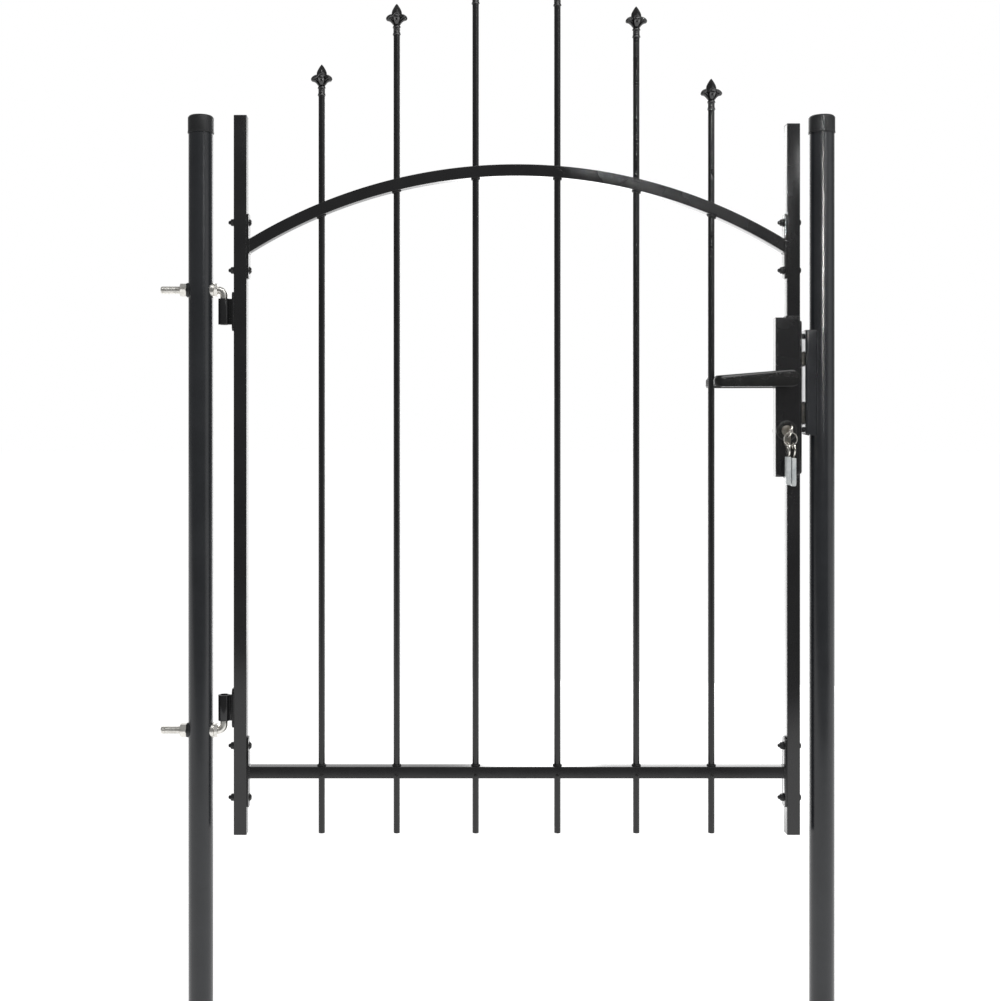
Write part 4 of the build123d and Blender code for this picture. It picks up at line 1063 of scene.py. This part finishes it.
# Latch and deadbolt
# Cast zinc-alloy bolts, zinc-plated. The latch has a ramp on the side that meets the keeper first, and
# the deadbolt is a plain block, thrown by the key.
BOLT_BACK = 911.8
BOLT_TIP = 938.0


def lock_bolt(name, middle, tall, ramp):
    """A block's outline seen from above, with the ramp cut off its outer corner, stacked up its height."""
    corners = [(BOLT_BACK, -BOLT_HALF), (BOLT_TIP, -BOLT_HALF)]
    if ramp:
        corners += [(BOLT_TIP, BOLT_HALF - ramp), (BOLT_TIP - ramp, BOLT_HALF)]
    else:
        corners += [(BOLT_TIP, BOLT_HALF)]
    corners += [(BOLT_BACK, BOLT_HALF)]
    outline = eased(np.array(corners), 0.8, 4)
    return skin(name, stacked(outline, stations(middle - tall / 2, middle + tall / 2, 0.6)))


# Die-cast bolts have a duller, greyer zinc than the pintles, brushed by the keeper.
dull_zinc = plated("zinc_plated_die_casting", ("#6a6966", "#86847e"), 0.36, 0.14, 5, 0.8)
latch = lock_bolt("latch_bolt_casting", LATCH_MIDDLE, LATCH_TALL, 7.0)
fitted(latch, dull_zinc, "latch", "zinc_plate", "latch_bolt")
deadbolt = lock_bolt("deadbolt_casting", DEAD_MIDDLE, DEAD_TALL, 0)
fitted(deadbolt, dull_zinc, "dead", "zinc_plate", "deadbolt")

# Keeper
# A channel bent from 2.5 mm sheet, its flanges cut to the round post and welded to it, with a window for
# each bolt. Two screws in its face set it against the leaf.
KEEPER_FACE = 933.5
KEEPER_FOOT = 1005.956
KEEPER_TOP = 1169.956
KEEPER_SHEET = 2.5
KEEPER_HALF = 15.0
KEEPER_BEND = 3.0
KEEPER_SLANT = 4.5
FLANGE_END = POST_CENTRES[1] - np.sqrt(POST_RADIUS**2 - KEEPER_HALF**2)
KEEPER_WINDOWS = [(low - 1.2, high + 1.2) for low, high in WINDOWS]


def keeper_line(u):
    """The channel seen from above, at a distance u along its outside from the middle of its face.

    Beyond the flat face the line turns through a quarter circle and runs straight back to the post."""
    flat = KEEPER_HALF - KEEPER_BEND
    turn = np.clip((np.abs(u) - flat) / KEEPER_BEND, 0, np.pi / 2)
    beyond = np.maximum(np.abs(u) - flat - KEEPER_BEND * np.pi / 2, 0)
    y = np.minimum(np.abs(u), flat) + KEEPER_BEND * np.sin(turn)
    x = KEEPER_FACE + KEEPER_BEND * (1 - np.cos(turn)) + beyond
    return x, np.sign(u) * y


def keeper_place(u, z):
    """The channel's outside: the same line at each height. Its foot is cut on a slant at the flanges."""
    x, y = keeper_line(-u)
    near = 1 - np.clip((x - KEEPER_FACE) / 11.0, 0, 1)
    return np.stack([x, y, np.where(z < KEEPER_FOOT + 0.1, z + KEEPER_SLANT * near, z)], axis=-1)


bend_start = KEEPER_HALF - KEEPER_BEND
bend_end = bend_start + KEEPER_BEND * np.pi / 2
flange = FLANGE_END - KEEPER_FACE - KEEPER_BEND
half_line = [7.5, *np.linspace(bend_start, bend_end, 7), bend_end + flange - 0.1]
keeper_rows = [KEEPER_FOOT, KEEPER_TOP] + [z for pair in KEEPER_WINDOWS for z in pair]
keeper = pierced(
    "keeper_channel",
    [-u for u in half_line] + half_line,
    keeper_rows,
    [(-7.5, 7.5, *pair) for pair in KEEPER_WINDOWS],
    keeper_place,
    sharp=40,
)
fitted(thickened(keeper, KEEPER_SHEET, 0.35), post_coat, "posts", "post_coat", "keeper")

screws = [side_screw(KEEPER_FACE, -1, z, 4.6, 2.6) for z in (KEEPER_FOOT + 10.2, KEEPER_TOP - 9)]
fitted(skin("keeper_screws", *screws, sharp=40), black_oxide, "posts", "black_fastener")
welds = []
for y in (-KEEPER_HALF, KEEPER_HALF):
    line = np.array([(FLANGE_END + 0.2, y, KEEPER_FOOT + 2), (FLANGE_END + 0.2, y, KEEPER_TOP - 2)])
    welds.append(bead(line, 1.3, closed=False))
fitted(skin("keeper_weld_beads", *welds, sharp=60), post_coat, "posts", "post_coat")

# Levers and spindle
# A pair of die-cast aluminium handles, painted satin black, on a square steel spindle. Each is a bevelled
# arm that narrows from the hub to the tip and turns back to the gate.
LEVER_HUB = 13.0
LEVER_TIP = -116.0
LEVER_NEAR = 33.0
LEVER_FAR = 43.0
LEVER_END = 17.0
LEVER_BEND = 8.0
LEVER_TURN_IN = 0.2
TIP_TOP, TIP_FOOT = 3.5, -13.5
HUB_NECK = 8.0


def tangent_point(x, z, side):
    """Where the line from a point touches the hub's circle, on its upper (1) or lower (-1) side."""
    angle = np.arctan2(z, x) - side * np.arccos(LEVER_HUB / np.hypot(x, z))
    return LEVER_HUB * np.cos(angle), LEVER_HUB * np.sin(angle)


def lever_edge(x, tip_z, side):
    """The arm's upper or lower edge at each x: the hub's circle, and then its tangent to the tip."""
    touch_x, touch_z = tangent_point(LEVER_TIP, tip_z, side)
    circle = side * np.sqrt(np.maximum(LEVER_HUB**2 - x**2, 0))
    line = touch_z + (x - touch_x) * (tip_z - touch_z) / (LEVER_TIP - touch_x)
    return np.where(x > touch_x, circle, line)


def lever(side):
    """A section carried along the arm seen from above: straight, round a bend, and back to the gate.

    The section is an outline of eight points with rounded corners. Its top and bottom follow the arm's
    edges, and its outer side has a bevel that widens from the hub to the tip."""
    middle = (LEVER_NEAR + LEVER_FAR) / 2
    half = (LEVER_FAR - LEVER_NEAR) / 2
    hub = LEVER_HUB * np.cos(np.linspace(0.1, np.pi / 2, 18))
    bend_x = LEVER_TIP + half + LEVER_BEND
    arm = np.linspace(hub[-1], bend_x, 20)[1:]
    full_turn = np.pi / 2 + LEVER_TURN_IN
    turn = np.linspace(0, full_turn, 15)[1:]
    curve_x = bend_x - LEVER_BEND * np.sin(turn)
    curve_y = middle - LEVER_BEND * (1 - np.cos(turn))
    run = (curve_y[-1] - LEVER_END - 1.0) / np.sin(full_turn) * np.array((0.15, 0.85, 1.0))
    straight = np.zeros(len(hub) + len(arm))
    x = np.concatenate([hub, arm, curve_x, curve_x[-1] - run * np.cos(full_turn)])
    y = np.concatenate([straight + middle, curve_y, curve_y[-1] - run * np.sin(full_turn)])
    lean = np.concatenate([straight, turn, np.full(3, full_turn)])
    high = lever_edge(x, TIP_TOP, 1)
    low = lever_edge(x, TIP_FOOT, -1) + 2.5 * (lean / full_turn) ** 2
    share = np.clip(-x / 100, 0, 1)
    tall = high - low
    bevel = np.minimum(3.0 + 2.0 * share, tall * 0.32)
    rise = np.minimum(1.8 + 1.0 * share, tall * 0.3)
    brow = np.minimum(1.0, tall * 0.15)
    near, far = half + 0 * x, brow - half
    n = np.stack([near, near, half - rise, far, -near, -near, far, near - 0.6 * brow], -1)
    z = np.stack([low + 0.6 * brow, high - bevel, high, high, high - brow, low + brow, low, low], -1)
    n[-1] *= 0.86
    z[-1] = z[-1].mean() + (z[-1] - z[-1].mean()) * 0.92
    ease = np.minimum(0.9, tall * 0.08)[:, None]
    section = eased(np.stack([n, z], axis=-1), ease, 3)
    out = section[..., 0]
    grid_x = x[:, None] - out * np.sin(lean)[:, None]
    grid_y = y[:, None] + out * np.cos(lean)[:, None]
    grip = capped(np.stack([grid_x, grid_y, section[..., 1]], axis=-1))
    neck_rows = [(0, 10.0), (HUB_NECK, 10.0), (HUB_NECK, 14.0), (HUB_NECK - 0.6, 16.0)]
    neck_rows += [(HUB_NECK - 0.6, 29.0), (HUB_NECK + 0.4, 31.5), (HUB_NECK + 2.2, 33.4), (0, 33.4)]
    neck = turned(neck_rows, "Y", sides=48)
    mark = turned([(0, 42.6), (2.6, 42.6), (2.6, 42.95), (2.2, 43.0), (1.9, 42.7), (0, 42.6)], "Y", sides=32)
    mark = mark + (-6.5, 0, 0.5)
    return [part * (1, side, 1) + (LOCK_X, 0, SPINDLE_HEIGHT) for part in (grip, neck, mark)]


# Satin paint on an aluminium die casting: a shade greyer than the powder, with a soft grain of 2 mm.
lever_paint = coat("satin_black_paint_on_die_casting", ("#191919", "#222221"), 0.21, 0.05, 0.004, 2.0, 20)
for name, side in (("lever_front", -1), ("lever_back", 1)):
    fitted(skin(name + "_casting", *lever(side), sharp=28), lever_paint, "lever", "handle_coat", name)
spindle = stacked(rectangle(8, 8, 0.5, 3), stations(-32.5, 32.5, 0.5, 3), "Y") + (LOCK_X, 0, SPINDLE_HEIGHT)
fitted(skin("lever_spindle_square", spindle), dull_zinc, "lever", "zinc_plate", "lever_spindle")

# Cylinder and rosettes
# A nickel-plated brass profile cylinder through the lock, with a round painted rosette on each side. Its
# plug is a disc with a fine ring round it.
CYLINDER_FACE = 16.5
KEY_LEAN = radians(13.0)


def cylinder_outline():
    """The profile cylinder's outline as (z, x): most of a circle of 17 mm, and a round-footed stem."""
    join = np.arcsin(5 / 8.5)
    arc = np.linspace(-np.pi / 2 + join, 3 * np.pi / 2 - join, 44)
    head = np.column_stack([8.5 * np.cos(arc), 8.5 * np.sin(arc)])
    low = np.linspace(np.pi, 2 * np.pi, 16)
    stem = np.column_stack([5 * np.cos(low), -19 + 5 * np.sin(low)])
    return np.vstack([head, stem])[::-1, ::-1]


def leaning(grid):
    """The grid leaned with the key: turned about the cylinder's axis, a line along Y."""
    c, s = np.cos(KEY_LEAN), np.sin(KEY_LEAN)
    x, z = grid[..., 0], grid[..., 2]
    return np.stack([c * x + s * z, grid[..., 1], c * z - s * x], axis=-1)


BARREL_FACE = CYLINDER_FACE - 0.35
barrel = stacked(cylinder_outline(), stations(-BARREL_FACE, BARREL_FACE, 0.4), "Y")
plug_rows = [(0, -0.3), (6.3, -0.3), (6.3, 0.12), (6.0, 0.35), (0, 0.35)]
fronts = []
for side in (-1, 1):
    disc = turned(plug_rows, "Y", sides=48)
    lip = turned([(6.9, -0.3), (6.9, 0.1), (7.2, 0.25), (7.5, 0.1), (7.5, -0.3)], "Y", sides=48)
    fronts += [(part + (0, BARREL_FACE, 0)) * (1, side, 1) for part in (disc, looped(lip))]
place = (LOCK_X, 0, CYLINDER_HEIGHT)
cylinder = skin("profile_cylinder", *(part + place for part in (barrel, *fronts)), sharp=30)
# Satin nickel, brushed rather than polished, so the cylinder is duller and darker than the keys.
satin_nickel = plated("satin_nickel_plated_brass", ("#7d7a74", "#98958e"), 0.30, 0.12, 4, 0.6)
fitted(cylinder, satin_nickel, "leaf", "nickel_plate", "lock_cylinder")
rosette_rows = [(8.4, 0), (16.0, 0), (16.0, 0.9), (15.7, 1.7), (15.0, 2.2), (14.0, 2.45), (13.0, 2.5)]
rosette_rows += [(9.6, 2.5), (9.2, 2.3), (8.4, 2.3)]
rosettes = []
for side in (-1, 1):
    disc = looped(turned(rosette_rows, "Y", sides=72)) + (0, CASE_HALF_DEPTH, 0)
    rosettes.append(disc * (1, side, 1) + place)
fitted(skin("cylinder_cover_rosettes", *rosettes), lever_paint, "leaf", "handle_coat", "cylinder_rosettes")

# Keys
# Three nickel-plated brass keys: one in the lock, leaning, and two spare ones on a split ring in its bow.
# The spare blades are in pale, milky plastic sleeves.
KEY_HALF = 1.1
BOW_RADIUS = 11.0
BOW_HOLE = 3.5
BOW_MIDDLE = -CYLINDER_FACE - BOW_RADIUS - 1.0
RING_TO_BOW = BOW_RADIUS - 2.5 - BOW_HOLE
KEY_RING_RADIUS = 10.0
RING_WIRE = 1.6
HANG = (2 * BOW_HOLE - RING_WIRE) / 2 - 0.3
RING_Y = BOW_MIDDLE - RING_TO_BOW
RING_Z = CYLINDER_HEIGHT - KEY_RING_RADIUS - HANG
SPARE_SPREAD = 4.0


def bow(middle, hole):
    """A key's bow across X: a disc with a round hole off its middle, both rims chamfered.

    Its rows go from the hole over one face, round the rim and back over the other face."""
    angle = ring_angles(64)
    ring = np.stack([np.cos(angle), np.sin(angle)], axis=-1)
    half = [(0, 0, KEY_HALF - 0.25), (0, 0.25, KEY_HALF), (0.35, 1.6, KEY_HALF), (0.75, 1.6, KEY_HALF - 0.25)]
    half += [(1, 0.25, KEY_HALF), (1, 0, KEY_HALF - 0.25)]
    levels = [(share, inset, -x) for share, inset, x in half[1:]] + half[::-1] + [(0, 0, 0.25 - KEY_HALF)]
    rows = []
    for share, inset, x in levels:
        near, far = BOW_HOLE + (inset if share == 0 else 0), BOW_RADIUS - (inset if share == 1 else 0)
        inner, outer = np.array(hole) + near * ring, np.array(middle) + far * ring
        flat = inner + share * (outer - inner)
        rows.append(np.column_stack([np.full(len(angle), x), flat]))
    return looped(np.array(rows))


def blade(start, end, width, flat_axis):
    """A key's blade: a thin bar with a groove down one face and a row of cuts along one edge.

    The edge's depth is a sum of two waves of the distance along the blade."""
    along = np.linspace(start, end, 40)
    cuts = 0.8 + 0.5 * np.sin(along * 1.1) + 0.35 * np.sin(along * 2.7 + 1)
    cuts = np.where(np.abs(along - start) < 4, 0, cuts)
    half = width / 2
    side = np.array([(-1, -1), (1, -1), (1, -0.25), (0.45, -0.15), (0.45, 0.25), (1, 0.35), (1, 1), (-1, 1)])
    x = KEY_HALF * 0.95 * side[:, 0]
    across = half * side[:, 1]
    grid = np.stack(
        [
            np.broadcast_to(x, (40, 8)),
            np.where(side[:, 1] > 0.9, across - cuts[:, None], across + 0 * cuts[:, None]),
            np.broadcast_to(along[:, None], (40, 8)),
        ],
        axis=-1,
    )
    if flat_axis == "Y":
        grid = grid[..., [0, 2, 1]]
    return capped(grid)


def split_ring(y, z):
    """A wire carried twice round a circle, one turn beside the other, with a short step between them."""
    turn = np.linspace(0, 4 * np.pi, 145)
    step = RING_WIRE / 4 * np.tanh((turn - 2 * np.pi) * 4)
    spoke = np.stack([np.sin(turn), 0 * turn, np.cos(turn)], axis=-1)
    angle = ring_angles(12)
    wire = RING_WIRE / 4 * 0.98
    flat = np.sign(np.cos(angle)) * np.abs(np.cos(angle)) ** 0.6 * wire * 1.7
    tall = np.sign(np.sin(angle)) * np.abs(np.sin(angle)) ** 0.6 * wire
    grid = (KEY_RING_RADIUS + flat)[None, :, None] * spoke[:, None]
    grid[..., 1] += step[:, None] + tall[None]
    return capped(grid) + (LOCK_X, y, z)


# Nickel over brass, polished and then handled: warm, bright and a little streaky.
nickel = plated("nickel_plated_brass", ("#d3d0c8", "#eeece6"), 0.14, 0.12, 4, 0.6)
lock_key = [
    bow((BOW_MIDDLE, 0), (RING_Y, 0)),
    blade(BOW_MIDDLE + BOW_RADIUS - 2.5, -4.0, 7.0, "Y"),
]
lock_key = [leaning(part) + (LOCK_X, 0, CYLINDER_HEIGHT) for part in lock_key]
fitted(skin("key_in_lock", *lock_key, sharp=30), nickel, "leaf", "nickel_plate", "key")
key_ring = skin("split_key_ring", split_ring(RING_Y, RING_Z), sharp=50)
fitted(key_ring, nickel, "leaf", "nickel_plate", "key_ring")

wire_drop = np.sqrt(KEY_RING_RADIUS**2 - SPARE_SPREAD**2)
hole_z = -wire_drop - HANG + KEY_HALF * SPARE_SPREAD / wire_drop
spare_bow_z = hole_z - RING_TO_BOW
blade_foot = spare_bow_z - BOW_RADIUS - 42.0
spare, sleeves = [], []
SLEEVE_HALF_X, SLEEVE_HALF_Y = 3.4, 6.0
sleeve_foot = blade_foot - 2.0


def sleeve():
    """A pouch moulded round a blade: a rounded outline that narrows at its foot, open at the top."""
    outer = rectangle(2 * SLEEVE_HALF_X, 2 * SLEEVE_HALF_Y, 1.4, 5)
    levels = [(2.4, 0), (1.2, 0.25), (0.5, 0.9), (0.1, 2.2), (0.0, 6), (0.0, 41.5), (0.15, 42.6), (0.4, 43.0)]
    levels += [(1.5, 43.0), (1.75, 42.6), (1.75, 30.0)]
    return stacked(outer, levels)


for side in (-1, 1):
    at = np.array((LOCK_X + side * SPARE_SPREAD, RING_Y, RING_Z))
    spare.append(bow((0, spare_bow_z), (0, hole_z)) + at)
    spare.append(blade(spare_bow_z - BOW_RADIUS + 2.5, blade_foot, 8.0, "Z") + at)
    sleeves.append(sleeve() + at + (0, 0, sleeve_foot - side * 1.0))
fitted(skin("spare_keys_on_ring", *spare, sharp=30), nickel, "leaf", "nickel_plate", "spare_keys")

# Soft moulded polyethylene: milky and pale, with a blurred gloss and faint clouds of 8.3 mm.
MILKY_CLOUD = (25 / 3, 3.0, 0.5)
MILKY_TINTS = ("#b9bfc0", "#d3d7d6")
milky = surface(
    "milky_moulded_polyethylene", MILKY_TINTS, (0.28, 0.4), MILKY_CLOUD, MILKY_CLOUD, 0.4, {"IOR": 1.51}
)
fitted(skin("spare_key_sleeves", *sleeves, sharp=35), milky, "leaf", "clear_plastic", "key_sleeves")
